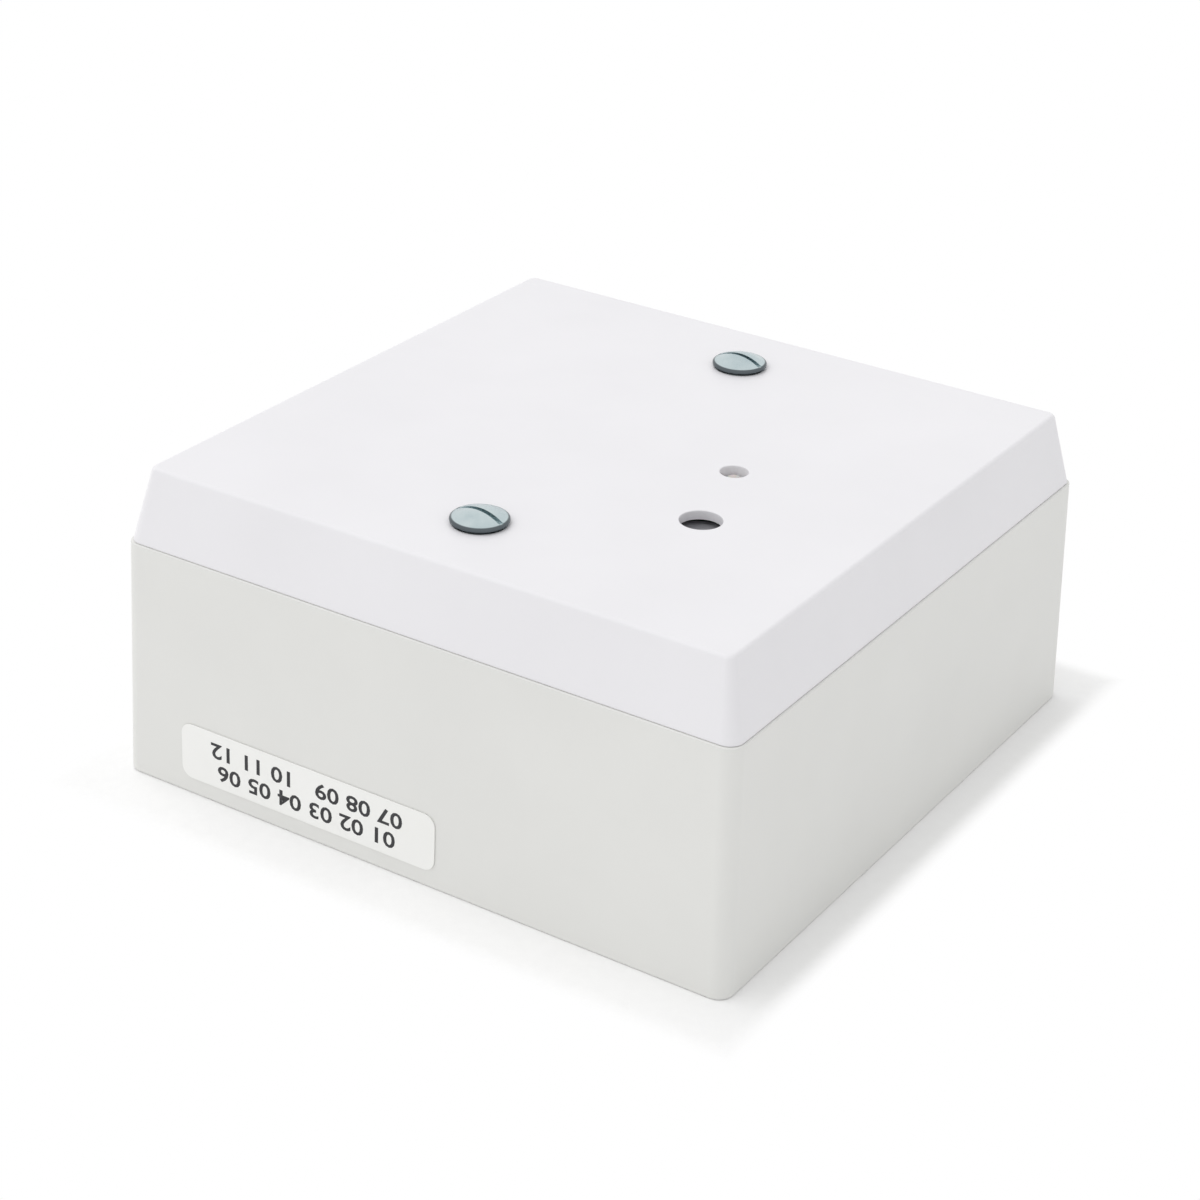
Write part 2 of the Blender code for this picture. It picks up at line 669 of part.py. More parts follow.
def circuit_board(finish, parent):
    """The main board, with a hole for each lead and screw that goes through it."""
    plate = slab(BOARD_HALF_X, BOARD_HALF_Y, BOARD_CORNER, BOARD_UNDER, BOARD_TOP)
    board = new_object("circuit_board", plate, finish, parent)
    cut(board, *board_holes())


def board_hole(radius, x, y, steps=SMALL_STEPS):
    """A round cutter through the board."""
    return moved(cylinder(radius, BOARD_UNDER - OVERCUT, BOARD_TOP + OVERCUT, steps), x, y)


def board_slot(half_x, half_y, x, y):
    """A square-cornered cutter through the board."""
    low, high = BOARD_UNDER - OVERCUT, BOARD_TOP + OVERCUT
    return block((x - half_x, y - half_y, low), (x + half_x, y + half_y, high))


def board_holes():
    """Every cutter that goes through the main board."""
    holes = [board_hole(ANTENNA_RADIUS + SMALL_GAP, antenna_x(), ANTENNA_Y)]
    for side in (-1, 1):
        for across in (-1, 1):
            holes.append(board_hole(BOARD_HOLE_RADIUS, across * POST_X, side * POST_Y))
        lead_x = LED_X + side * LED_LEAD_PITCH / 2
        holes.append(board_hole(led_lead_bore(), lead_x, LED_Y, CORNER_STEPS * 2))
        tag_half = TAG_THICKNESS / 2 + SMALL_GAP
        holes.append(board_slot(tag_half, TAG_WIDTH / 2 + SMALL_GAP, tag_x(side), CELL_Y))
        tie_half = TIE_THICKNESS / 2 + SMALL_GAP
        tie_y = CELL_Y + side * (TIE_REACH + TIE_THICKNESS / 2)
        holes.append(board_slot(TIE_WIDTH / 2 + SMALL_GAP, tie_half, TIE_X, tie_y))
    for x in way_places():
        pin_y = PIN_FRONT + PIN_THICKNESS / 2
        holes.append(board_slot(TONGUE_WIDTH / 2 + SMALL_GAP, PIN_THICKNESS / 2 + SMALL_GAP, x, pin_y))
    for x in header_places():
        holes.append(board_slot(HEADER_PIN / 2 + SMALL_GAP, HEADER_PIN / 2 + SMALL_GAP, x, HEADER_Y))
    return holes


def board_screw(name, x, y, finish, parent):
    """A pan-head screw, from below through the board into its post."""
    head_under = -BOARD_SCREW_HEAD
    bite = BOARD_TOP + BOARD_SCREW_BITE - BOARD_UNDER + SEAT_GAP
    centre = (BOARD_SCREW_HEAD_RADIUS - BOARD_SCREW_CROSS, head_under + BOARD_SCREW_CROSS)
    profile = [
        (0, head_under),
        *arc(centre, BOARD_SCREW_CROSS, math.radians(-90), 0, FILLET_STEPS),
        (BOARD_SCREW_HEAD_RADIUS, 0),
        (BOARD_SCREW_RADIUS, 0),
        (BOARD_SCREW_RADIUS, bite - BOARD_SCREW_RADIUS),
        (0, bite),
    ]
    seat = (x, y, BOARD_UNDER - SEAT_GAP)
    screw = new_object(name, turned(profile, SMALL_STEPS), finish, parent, at=seat)
    half = BOARD_SCREW_CROSS / 2
    arm = BOARD_SCREW_HEAD_RADIUS / 2
    flat = block((-arm, -half, head_under - OVERCUT), (arm, half, head_under + BOARD_SCREW_CROSS))
    upright = block((-half, -arm, head_under - OVERCUT), (half, arm, head_under + BOARD_SCREW_CROSS))
    cut(screw, united(flat, upright))


def switch_body(name, finish, parent):
    """The square base of a push switch, with a well for the plunger's flange."""
    half = SWITCH_SIDE / 2
    top = SMALL_GAP + SWITCH_HEIGHT
    body = new_object(name, block((-half, -half, SMALL_GAP), (half, half, top)), finish, parent)
    well_floor = plunger_under() - PLUNGER_TRAVEL - SMALL_GAP
    cut(body, cylinder(PLUNGER_FLANGE_RADIUS + SMALL_GAP, well_floor, top + OVERCUT))


def plunger_under():
    """Height of the plunger's underside above the board's face."""
    return SWITCH_HEIGHT + SMALL_GAP - PLUNGER_FLANGE


def switch_frame(name, finish, parent):
    """The steel frame of a push switch: a plate, its rivet heads and two side straps."""
    half = SWITCH_SIDE / 2
    under = SWITCH_HEIGHT + 2 * SMALL_GAP
    top = under + SWITCH_FRAME
    frame = new_object(name, block((-half, -half, under), (half, half, top)), finish, parent)
    place = half - SWITCH_RIVET_INSET
    rivets = []
    for x in (-place, place):
        for y in (-place, place):
            low, high = top - SWITCH_FRAME / 2, top + SWITCH_FRAME / 2
            rivet = cylinder(SWITCH_RIVET_RADIUS, low, high, SMALL_STEPS)
            rivets.append(moved(rivet, x, y))
    fuse(frame, *rivets)
    cut(frame, cylinder(PLUNGER_RADIUS + SMALL_GAP, under - OVERCUT, top + OVERCUT))


def switch_plunger(name, top, finish, parent):
    """A push switch's plunger: a flange in the well and a stem up to the given height."""
    flange = SWITCH_HEIGHT + SMALL_GAP
    profile = [
        (0, plunger_under()),
        (PLUNGER_FLANGE_RADIUS, plunger_under()),
        (PLUNGER_FLANGE_RADIUS, flange),
        (PLUNGER_RADIUS, flange),
        (PLUNGER_RADIUS, top - PLUNGER_EDGE),
        (PLUNGER_RADIUS - PLUNGER_EDGE, top),
        (0, top),
    ]
    new_object(name, turned(profile), finish, parent)


def push_switch(name, holder, stem_top, finishes):
    """One complete push switch on a holder whose origin lies on the board's face."""
    switch_body(f"{name}_switch_body", finishes["black_plastic"], holder)
    switch_frame(f"{name}_switch_frame", finishes["tinned_steel"], holder)
    switch_plunger(f"{name}_plunger", stem_top, finishes["black_plastic"], holder)


def led_base():
    """Height of the light's underside."""
    return COVER_TOP - LED_DEPTH - LED_LENGTH


def led_lead_bore():
    """Radius of a round hole that clears a square lead."""
    return LED_LEAD / 2 * math.sqrt(2) + SMALL_GAP


def status_led(finish, parent):
    """A round 3 mm light with a flange and a domed top."""
    dome = arc((0, LED_LENGTH - LED_RADIUS), LED_RADIUS, 0, math.radians(90), CORNER_STEPS)
    flange = [(0, 0), (LED_FLANGE_RADIUS, 0), (LED_FLANGE_RADIUS, LED_FLANGE)]
    profile = [*flange, (LED_RADIUS, LED_FLANGE), *dome]
    new_object("status_led", turned(profile, SMALL_STEPS), finish, parent, at=(LED_X, LED_Y, led_base()))


def led_spacer(finish, parent):
    """The sleeve that holds the light at its height above the board."""
    low = BOARD_TOP + SMALL_GAP
    high = led_base() - SMALL_GAP
    spacer = new_object("led_spacer", cylinder(LED_FLANGE_RADIUS, low, high, SMALL_STEPS), finish, parent)
    spacer.location = (LED_X, LED_Y, 0)
    bores = []
    for side in (-1, 1):
        bore = cylinder(led_lead_bore(), low - OVERCUT, high + OVERCUT, CORNER_STEPS * 2)
        bores.append(moved(bore, x=side * LED_LEAD_PITCH / 2))
    cut(spacer, *bores)


def led_lead(name, side, finish, parent):
    """One of the light's two leads, through the spacer and the board."""
    half = LED_LEAD / 2
    lead = block((-half, -half, BOARD_UNDER - LED_LEAD_TAIL), (half, half, led_base() - SMALL_GAP))
    new_object(name, lead, finish, parent, at=(LED_X + side * LED_LEAD_PITCH / 2, LED_Y, 0))


def lithium_cell(finish, parent):
    """The cell, lying along X under the board. Its nub points to +X."""
    half = CELL_LENGTH / 2
    shoulder = half - CELL_NUB
    inset = CELL_RADIUS - CELL_EDGE
    square = math.radians(90)
    lower = arc((inset, CELL_EDGE - half), CELL_EDGE, -square, 0, FILLET_STEPS)
    upper = arc((inset, shoulder - CELL_EDGE), CELL_EDGE, 0, square, FILLET_STEPS)
    profile = [(0, -half), *lower, *upper, (CELL_NUB_RADIUS, shoulder), (CELL_NUB_RADIUS, half), (0, half)]
    new_object(
        "lithium_cell",
        turned(profile, FINE_STEPS),
        finish,
        parent,
        at=(CELL_X, CELL_Y, CELL_Z),
        turn=(0, math.radians(90), 0),
    )


def tag_x(side):
    """Centre of a solder tag, just clear of the cell's end."""
    return CELL_X + side * (CELL_LENGTH / 2 + SMALL_GAP + TAG_THICKNESS / 2)


def cell_tag(name, side, finish, parent):
    """A nickel strip from the middle of the cell's end up through the board."""
    low = (tag_x(side) - TAG_THICKNESS / 2, CELL_Y - TAG_WIDTH / 2, CELL_Z - TAG_DROP)
    high = (tag_x(side) + TAG_THICKNESS / 2, CELL_Y + TAG_WIDTH / 2, BOARD_TOP + PIN_TAIL)
    new_object(name, block(low, high), finish, parent)


def cell_pad(finish, parent):
    """The foam pad between the cell and the board."""
    high = BOARD_UNDER - SEAT_GAP
    pad = slab(CELL_PAD_LENGTH / 2, CELL_PAD_WIDTH / 2, BOARD_CORNER, high - CELL_PAD, high)
    new_object("cell_pad", moved(pad, CELL_X, CELL_Y), finish, parent)


def tie_loop(offset):
    """The tie's line round the cell and over the board, at an offset from its inner face."""
    reach = TIE_REACH + offset
    half_turn = arc((0, CELL_Z), reach, math.radians(180), math.radians(360), ROUND_STEPS // 2)
    top = BOARD_TOP + SEAT_GAP + offset
    return [*half_turn, (reach, top), (-reach, top)]


def cable_tie(finish, parent):
    """The tie that holds the cell to the board, with its lock on the top side."""
    half = TIE_WIDTH / 2
    mesh = bmesh.new()
    sections = []
    for inner, outer in zip(tie_loop(0), tie_loop(TIE_THICKNESS)):
        corners = [(-half, *inner), (half, *inner), (half, *outer), (-half, *outer)]
        sections.append([mesh.verts.new(corner) for corner in corners])
    for first, second in zip(sections, sections[1:] + sections[:1]):
        for index in range(4):
            after = (index + 1) % 4
            mesh.faces.new((first[index], first[after], second[after], second[index]))
    bmesh.ops.recalc_face_normals(mesh, faces=mesh.faces)
    tie = new_object("cable_tie", mesh, finish, parent, at=(TIE_X, CELL_Y, 0))
    low = BOARD_TOP + SEAT_GAP
    head_x, head_y = TIE_HEAD_WIDTH / 2, TIE_HEAD_LENGTH / 2
    fuse(tie, block((-head_x, -head_y, low), (head_x, head_y, low + TIE_HEAD_HEIGHT)))


def tray(half_x, half_y, radius, wall, low, high):
    """A rounded tray with its floor at the low end and its mouth at the high end."""
    inner_x, inner_y, inner_radius = half_x - wall, half_y - wall, radius - wall / 2
    rings = [
        rectangle(half_x, half_y, radius, low),
        rectangle(half_x, half_y, radius, high),
        rectangle(inner_x, inner_y, inner_radius, high),
        rectangle(inner_x, inner_y, inner_radius, low + wall),
    ]
    return loft(rings)


def battery_switch(finishes, parent):
    """The slide switch that connects the cell: base, steel shell and slider."""
    top = BOARD_UNDER - SEAT_GAP
    shell_under = top - SLIDER_SHELL_HEIGHT
    half_x, half_y = SLIDER_SHELL_LENGTH / 2, SLIDER_SHELL_WIDTH / 2
    at = (SLIDER_X, SLIDER_Y, 0)
    shell = new_object(
        "battery_switch_shell",
        tray(half_x, half_y, 2 * SLIDER_SHELL_WALL, SLIDER_SHELL_WALL, shell_under, top),
        finishes["tinned_steel"],
        parent,
        at=at,
    )
    slot_x = (SLIDER_KNOB_LENGTH + SLIDER_TRAVEL) / 2 + SEAT_GAP
    slot_y = SLIDER_KNOB_WIDTH / 2 + SEAT_GAP
    slot_top = shell_under + SLIDER_SHELL_WALL + SMALL_GAP
    cut(shell, block((-slot_x, -slot_y, shell_under - OVERCUT), (slot_x, slot_y, slot_top)))
    inner_x = half_x - SLIDER_SHELL_WALL - SMALL_GAP
    inner_y = half_y - SLIDER_SHELL_WALL - SMALL_GAP
    base_under = top - SLIDER_BASE_HEIGHT
    base = block((-inner_x, -inner_y, base_under), (inner_x, inner_y, top))
    new_object("battery_switch_base", base, finishes["black_plastic"], parent, at=at)
    slider(base_under, shell_under, inner_y, finishes["yellow_plastic"], parent)


def slider(base_under, shell_under, half_y, finish, parent):
    """The sliding knob, at the end of its travel nearer -X."""
    half_x = SLIDER_CARRIAGE / 2
    low = shell_under + SLIDER_SHELL_WALL + SMALL_GAP
    carriage = block((-half_x, -half_y, low), (half_x, half_y, base_under - SMALL_GAP))
    at = (SLIDER_X - SLIDER_TRAVEL / 2, SLIDER_Y, 0)
    piece = new_object("battery_switch_slider", carriage, finish, parent, at=at)
    knob_x, knob_y = SLIDER_KNOB_LENGTH / 2, SLIDER_KNOB_WIDTH / 2
    knob_end = shell_under - SLIDER_KNOB_HEIGHT
    fuse(piece, block((-knob_x, -knob_y, knob_end), (knob_x, knob_y, low + SMALL_GAP)))


def way_places():
    """X of each terminal way, from -X to +X."""
    return [TERMINAL_X + (index - (WAYS - 1) / 2) * WAY_PITCH for index in range(WAYS)]


def terminal_housing(finish, parent):
    """The moulded block: a cage chamber, a screw well and a wire entry for each way."""
    half = WAYS * WAY_PITCH / 2
    top = BOARD_UNDER - SEAT_GAP
    low_corner = (TERMINAL_X - half, TERMINAL_FRONT, TERMINAL_UNDER)
    high_corner = (TERMINAL_X + half, TERMINAL_BACK, top)
    housing = new_object("terminal_housing", block(low_corner, high_corner), finish, parent)
    cut(housing, *[chamber(x) for x in way_places()])
    screw_y = CAGE_FRONT + CAGE_DEPTH / 2
    well = [
        (0, TERMINAL_UNDER - OVERCUT),
        (TERMINAL_MOUTH_RADIUS, TERMINAL_UNDER - OVERCUT),
        (TERMINAL_MOUTH_RADIUS, TERMINAL_UNDER + TERMINAL_MOUTH),
        (CLAMP_SCREW_HEAD_RADIUS + SEAT_GAP, TERMINAL_UNDER + TERMINAL_MOUTH),
        (CLAMP_SCREW_HEAD_RADIUS + SEAT_GAP, CHAMBER_FLOOR + SMALL_GAP),
        (0, CHAMBER_FLOOR + SMALL_GAP),
    ]
    cut(housing, *[moved(turned(well, SMALL_STEPS), x, screw_y) for x in way_places()])
    cut(housing, *[wire_entry(x) for x in way_places()])
    cut(housing, *[pin_hole(x) for x in way_places()])


def chamber(x):
    """Cutter for the space that one cage moves in."""
    back = PIN_FRONT + PIN_THICKNESS + SEAT_GAP
    front = CAGE_FRONT - SEAT_GAP
    return block((x - CHAMBER_HALF, front, CHAMBER_FLOOR), (x + CHAMBER_HALF, back, CAGE_TOP + SEAT_GAP))


def wire_entry(x):
    """Cutter for the hole that a wire goes in by."""
    half = WIRE_ENTRY_WIDTH / 2
    low = TONGUE_UNDER + TONGUE_THICKNESS
    return block((x - half, TERMINAL_FRONT - OVERCUT, low), (x + half, CAGE_FRONT, low + WIRE_ROOM))


def pin_hole(x):
    """Cutter for the hole in the roof that a pin goes up through."""
    half = TONGUE_WIDTH / 2 + SMALL_GAP
    front = PIN_FRONT - SMALL_GAP
    back = PIN_FRONT + PIN_THICKNESS + SMALL_GAP
    return block((x - half, front, CAGE_TOP), (x + half, back, BOARD_UNDER))


def terminal_pin(number, x, finish, parent):
    """A bent pin: a tongue inside the cage, and a tail through the board."""
    top = TONGUE_UNDER + TONGUE_THICKNESS
    back = PIN_FRONT + PIN_THICKNESS
    outline = [
        (CAGE_FRONT, TONGUE_UNDER),
        (back, TONGUE_UNDER),
        (back, BOARD_TOP + PIN_TAIL),
        (PIN_FRONT, BOARD_TOP + PIN_TAIL),
        (PIN_FRONT, top),
        (CAGE_FRONT, top),
    ]
    pin = prism(outline, -TONGUE_WIDTH / 2, TONGUE_WIDTH / 2)
    new_object(f"terminal_pin_{number}", pin, finish, parent, at=(x, 0, 0))


def terminal_screw(number, x, finish, parent):
    """A clamp screw, head down. Its origin is on its axis, under its head."""
    tip = TONGUE_UNDER - SMALL_GAP - CLAMP_HEAD_UNDER
    profile = [
        (0, 0),
        (CLAMP_SCREW_HEAD_RADIUS, 0),
        (CLAMP_SCREW_HEAD_RADIUS, CLAMP_SCREW_HEAD),
        (CLAMP_SCREW_RADIUS, CLAMP_SCREW_HEAD),
        (CLAMP_SCREW_RADIUS, tip),
        (0, tip),
    ]
    at = (x, CAGE_FRONT + CAGE_DEPTH / 2, CLAMP_HEAD_UNDER)
    screw = new_object(f"terminal_screw_{number}", turned(profile, SMALL_STEPS), finish, parent, at=at)
    reach = CLAMP_SCREW_HEAD_RADIUS + OVERCUT
    half = CLAMP_SLOT_WIDTH / 2
    cut(screw, block((-reach, -half, -OVERCUT), (reach, half, CLAMP_SLOT_DEPTH)))


def terminal_cage(number, x, finish, parent):
    """A square clamp cage, in its open place. Its screw goes up through its floor."""
    half, depth = CAGE_WIDTH / 2, CAGE_DEPTH / 2
    inner = half - CAGE_SIDE
    outside = [(-half, 0), (half, 0), (half, CAGE_HEIGHT), (-half, CAGE_HEIGHT)]
    low, high = CAGE_WALL, CAGE_HEIGHT - CAGE_WALL
    opening = [(-inner, low), (inner, low), (inner, high), (-inner, high)]
    mesh = bmesh.new()
    corners = {}
    for name, outline in (("outside", outside), ("opening", opening)):
        for y in (-depth, depth):
            corners[name, y] = [mesh.verts.new((u, y, v)) for u, v in outline]
    ring = ("outside", -depth), ("outside", depth), ("opening", depth), ("opening", -depth)
    for first, second in zip(ring, ring[1:] + ring[:1]):
        for index in range(4):
            after = (index + 1) % 4
            a, b = corners[first], corners[second]
            mesh.faces.new((a[index], a[after], b[after], b[index]))
    bmesh.ops.recalc_face_normals(mesh, faces=mesh.faces)
    at = (x, CAGE_FRONT + CAGE_DEPTH / 2, CAGE_UNDER)
    cage = new_object(f"terminal_cage_{number}", mesh, finish, parent, at=at)
    cut(cage, cylinder(CLAMP_SCREW_RADIUS + SMALL_GAP, -OVERCUT, CAGE_WALL + SMALL_GAP, SMALL_STEPS))


def header_places():
    """X of each pin of the radio board's header."""
    return [RADIO_X + (index - (HEADER_WAYS - 1) / 2) * HEADER_PITCH for index in range(HEADER_WAYS)]


def header_holes(low, high):
    """Square cutters round the header's pins, between two heights."""
    half = HEADER_PIN / 2 + SMALL_GAP
    front, back = HEADER_Y - half, HEADER_Y + half
    return [block((x - half, front, low), (x + half, back, high)) for x in header_places()]


def radio_board(finish, parent):
    """The small board that hangs from the header."""
    plate = slab(RADIO_LENGTH / 2, RADIO_WIDTH / 2, BOARD_CORNER / 2, RADIO_UNDER, RADIO_TOP)
    board = new_object("radio_board", moved(plate, RADIO_X, RADIO_Y), finish, parent)
    cut(board, *header_holes(RADIO_UNDER - OVERCUT, RADIO_TOP + OVERCUT))


def radio_header(finish, parent):
    """The plastic strip that spaces the radio board from the main one."""
    half_x, half_y = HEADER_WAYS * HEADER_PITCH / 2, HEADER_SIDE / 2
    low = RADIO_TOP + SMALL_GAP
    high = low + HEADER_SIDE
    strip = moved(block((-half_x, -half_y, low), (half_x, half_y, high)), RADIO_X, HEADER_Y)
    header = new_object("radio_header", strip, finish, parent)
    cut(header, *header_holes(low - OVERCUT, high + OVERCUT))


def radio_pin(number, x, finish, parent):
    """One of the header's square pins, through both boards."""
    half = HEADER_PIN / 2
    pin = block((-half, -half, RADIO_UNDER - PIN_TAIL), (half, half, BOARD_TOP + PIN_TAIL))
    new_object(f"radio_pin_{number}", pin, finish, parent, at=(x, HEADER_Y, 0))


def radio_shield(finish, parent):
    """The screening can, with its closed face away from the board."""
    high = RADIO_UNDER - SMALL_GAP
    low = high - SHIELD_HEIGHT
    corner = 3 * SHIELD_WALL
    can = tray(SHIELD_LENGTH / 2, SHIELD_WIDTH / 2, corner, SHIELD_WALL, low, high)
    y = RADIO_Y + RADIO_WIDTH / 2 - SHIELD_INSET - SHIELD_WIDTH / 2
    new_object("radio_shield", moved(can, RADIO_X, y), finish, parent)


def antenna_x():
    """X of the hole that the antenna is soldered in."""
    return BOARD_HALF_X - ANTENNA_EDGE


def antenna_wire(finish, parent):
    """A stiff wire up from the board, midway between posts and cover, to just short of the screw boss."""
    run = (POST_X + POST_RADIUS + COVER_INSIDE_HALF) / 2
    level = BOARD_TOP + ANTENNA_RISE
    corners = [
        Vector((antenna_x(), ANTENNA_Y, BOARD_UNDER - LED_LEAD_TAIL)),
        Vector((antenna_x(), ANTENNA_Y, level)),
        Vector((run, ANTENNA_Y, level)),
        Vector((run, run, level)),
        Vector((PILLAR_RADIUS + ANTENNA_END_GAP, run, level)),
    ]
    points = [corners[0]]
    for before, corner, after in zip(corners, corners[1:], corners[2:]):
        bend = min(ANTENNA_BEND, (corner - before).length / 2, (after - corner).length / 2)
        points += fillet(before, corner, after, bend, CORNER_STEPS)
    points.append(corners[-1])
    curve = bpy.data.curves.new("antenna_wire", "CURVE")
    curve.dimensions = "3D"
    curve.bevel_depth = ANTENNA_RADIUS
    curve.bevel_resolution = 2
    curve.use_fill_caps = True
    curve.materials.append(finish)
    line = curve.splines.new("POLY")
    line.points.add(len(points) - 1)
    for slot, point in zip(line.points, points):
        slot.co = (*point, 1.0)
    wire = bpy.data.objects.new("antenna_wire", curve)
    bpy.context.collection.objects.link(wire)
    wire.parent = parent


def microcontroller(finish, parent):
    """A wide chip with gull-wing legs along its two long sides."""
    half_x, half_y = CHIP_LENGTH / 2, CHIP_WIDTH / 2
    high = BOARD_UNDER - SEAT_GAP
    body = block((-half_x, -half_y, high - CHIP_HEIGHT), (half_x, half_y, high))
    chip = new_object("microcontroller", body, finish, parent, at=(CHIP_X, CHIP_Y, 0))
    foot_top = BOARD_UNDER - SMALL_GAP
    shoulder = high - CHIP_HEIGHT / 2
    knee = half_y + CHIP_LEG_REACH
    toe = knee + CHIP_LEG_FOOT
    outline = [
        (half_y - SMALL_GAP, shoulder),
        (half_y - SMALL_GAP, shoulder - CHIP_LEG_THICKNESS),
        (knee, shoulder - CHIP_LEG_THICKNESS),
        (knee, foot_top - CHIP_LEG_THICKNESS),
        (toe, foot_top - CHIP_LEG_THICKNESS),
        (toe, foot_top),
        (knee - CHIP_LEG_THICKNESS, foot_top),
        (knee - CHIP_LEG_THICKNESS, shoulder),
    ]
    half = CHIP_LEG_WIDTH / 2
    legs = []
    for index in range(CHIP_LEGS):
        x = (index - (CHIP_LEGS - 1) / 2) * CHIP_LEG_PITCH
        for side in (-1, 1):
            legs.append(prism([(side * y, z) for y, z in outline], x - half, x + half))
    fuse(chip, *legs)


def crystal(finish, parent):
    """A low metal can with a brim against the board."""
    high = BOARD_UNDER - SMALL_GAP
    low = high - CRYSTAL_HEIGHT
    half_x, half_y = CRYSTAL_LENGTH / 2, CRYSTAL_WIDTH / 2
    can_x, can_y = half_x - CRYSTAL_BRIM, half_y - CRYSTAL_BRIM
    rings = [
        rectangle(can_x - CRYSTAL_BRIM, can_y - CRYSTAL_BRIM, can_y - CRYSTAL_BRIM, low),
        rectangle(can_x, can_y, can_y, low + CRYSTAL_BRIM),
        rectangle(can_x, can_y, can_y, high - CRYSTAL_BRIM),
        rectangle(half_x, half_y, half_y, high - CRYSTAL_BRIM),
        rectangle(half_x, half_y, half_y, high),
    ]
    new_object("crystal", moved(loft(rings), CRYSTAL_X, CRYSTAL_Y), finish, parent)


def capacitor(finishes, parent):
    """A round aluminium can on its square base."""
    at = (CAPACITOR_X, CAPACITOR_Y, 0)
    base_top = BOARD_UNDER - SMALL_GAP
    base_under = base_top - CAPACITOR_BASE
    half = CAPACITOR_BASE_SIDE / 2
    base = slab(half, half, CAPACITOR_BASE, base_under, base_top)
    new_object("capacitor_base", base, finishes["black_plastic"], parent, at=at)
    high = base_under - SMALL_GAP
    low = high - CAPACITOR_LENGTH
    centre = (CAPACITOR_RADIUS - CAPACITOR_EDGE, low + CAPACITOR_EDGE)
    edge = arc(centre, CAPACITOR_EDGE, math.radians(-90), 0, FILLET_STEPS)
    profile = [(0, low), *edge, (CAPACITOR_RADIUS, high), (0, high)]
    new_object("capacitor", turned(profile), finishes["aluminium"], parent, at=at)


def make_finishes():
    """The plain colours of the parts, by name."""
    return {
        "box_plastic": material("box_plastic", (0.78, 0.79, 0.76), 0.4),
        "cover_plastic": material("cover_plastic", (0.85, 0.85, 0.88), 0.35),
        "label_paper": material("label_paper", (0.88, 0.88, 0.87), 0.6),
        "zinc_plate": material("zinc_plate", (0.62, 0.69, 0.72), 0.25, 1.0),
        "brass": material("brass", (0.72, 0.5, 0.2), 0.3, 1.0),
        "tinned_steel": material("tinned_steel", (0.62, 0.62, 0.6), 0.3, 1.0),
        "nickel": material("nickel", (0.6, 0.58, 0.52), 0.3, 1.0),
        "aluminium": material("aluminium", (0.75, 0.75, 0.77), 0.25, 1.0),
        "solder_mask": material("solder_mask", (0.02, 0.16, 0.06), 0.35),
        "black_plastic": material("black_plastic", (0.02, 0.02, 0.02), 0.45),
        "green_plastic": material("green_plastic", (0.03, 0.3, 0.1), 0.45),
        "yellow_plastic": material("yellow_plastic", (0.85, 0.6, 0.03), 0.4),
        "white_plastic": material("white_plastic", (0.8, 0.8, 0.78), 0.45),
        "foam": material("foam", (0.05, 0.05, 0.05), 0.9),
        "lens": material("lens", (0.8, 0.78, 0.76), 0.15, 0.0, 0.6),
        "sleeve": material("sleeve", (0.05, 0.1, 0.35), 0.35),
        "antenna_sleeve": material("antenna_sleeve", (0.75, 0.75, 0.72), 0.5),
    }


def build_box(finishes):
    """What stays on the wall."""
    back_box(finishes["box_plastic"])
    screw_insert("screw_insert_front", -1, finishes["brass"])
    screw_insert("screw_insert_rear", 1, finishes["brass"])
    date_label(finishes["label_paper"])


def build_cover(finishes, cover):
    """The plate, its screws and the board."""
    cover_plate(finishes["cover_plastic"], cover)
    cover_screw("cover_screw_front", -1, finishes["zinc_plate"], cover)
    cover_screw("cover_screw_rear", 1, finishes["zinc_plate"], cover)
    circuit_board(finishes["solder_mask"], cover)
    places = [(x, y) for y in (-POST_Y, POST_Y) for x in (-POST_X, POST_X)]
    for number, (x, y) in enumerate(places, start=1):
        board_screw(f"board_screw_{number}", x, y, finishes["zinc_plate"], cover)


def build_controls(finishes):
    """The two push switches, the slide switch and the status light."""
    above = new_parent("test_switch", at=(BUTTON_X, BUTTON_Y, BOARD_TOP))
    push_switch("test", above, COVER_TOP - BUTTON_DEPTH - BOARD_TOP, finishes)
    below = new_parent("pairing_switch", at=(PAIRING_X, PAIRING_Y, BOARD_UNDER), turn=(math.pi, 0, 0))
    push_switch("pairing", below, SWITCH_HEIGHT + SWITCH_FRAME + 2 * SMALL_GAP + PAIRING_STEM, finishes)


def build_underside(finishes, cover):
    """Everything else that the board carries."""
    status_led(finishes["lens"], cover)
    led_spacer(finishes["white_plastic"], cover)
    led_lead("led_cathode", -1, finishes["tinned_steel"], cover)
    led_lead("led_anode", 1, finishes["tinned_steel"], cover)
    battery_switch(finishes, cover)
    lithium_cell(finishes["sleeve"], cover)
    cell_tag("cell_tag_negative", -1, finishes["nickel"], cover)
    cell_tag("cell_tag_positive", 1, finishes["nickel"], cover)
    cell_pad(finishes["foam"], cover)
    cable_tie(finishes["white_plastic"], cover)
    radio_board(finishes["solder_mask"], cover)
    radio_header(finishes["black_plastic"], cover)
    for number, x in enumerate(header_places(), start=1):
        radio_pin(number, x, finishes["brass"], cover)
    radio_shield(finishes["tinned_steel"], cover)
    antenna_wire(finishes["antenna_sleeve"], cover)
    microcontroller(finishes["black_plastic"], cover)
    crystal(finishes["nickel"], cover)
    capacitor(finishes, cover)


def build_terminals(finishes, cover):
    """The terminal block with a screw and a rising cage for each way."""
    terminal_housing(finishes["green_plastic"], cover)
    for number, x in enumerate(way_places(), start=1):
        terminal_pin(number, x, finishes["tinned_steel"], cover)
        terminal_screw(number, x, finishes["zinc_plate"], cover)
        terminal_cage(number, x, finishes["nickel"], cover)


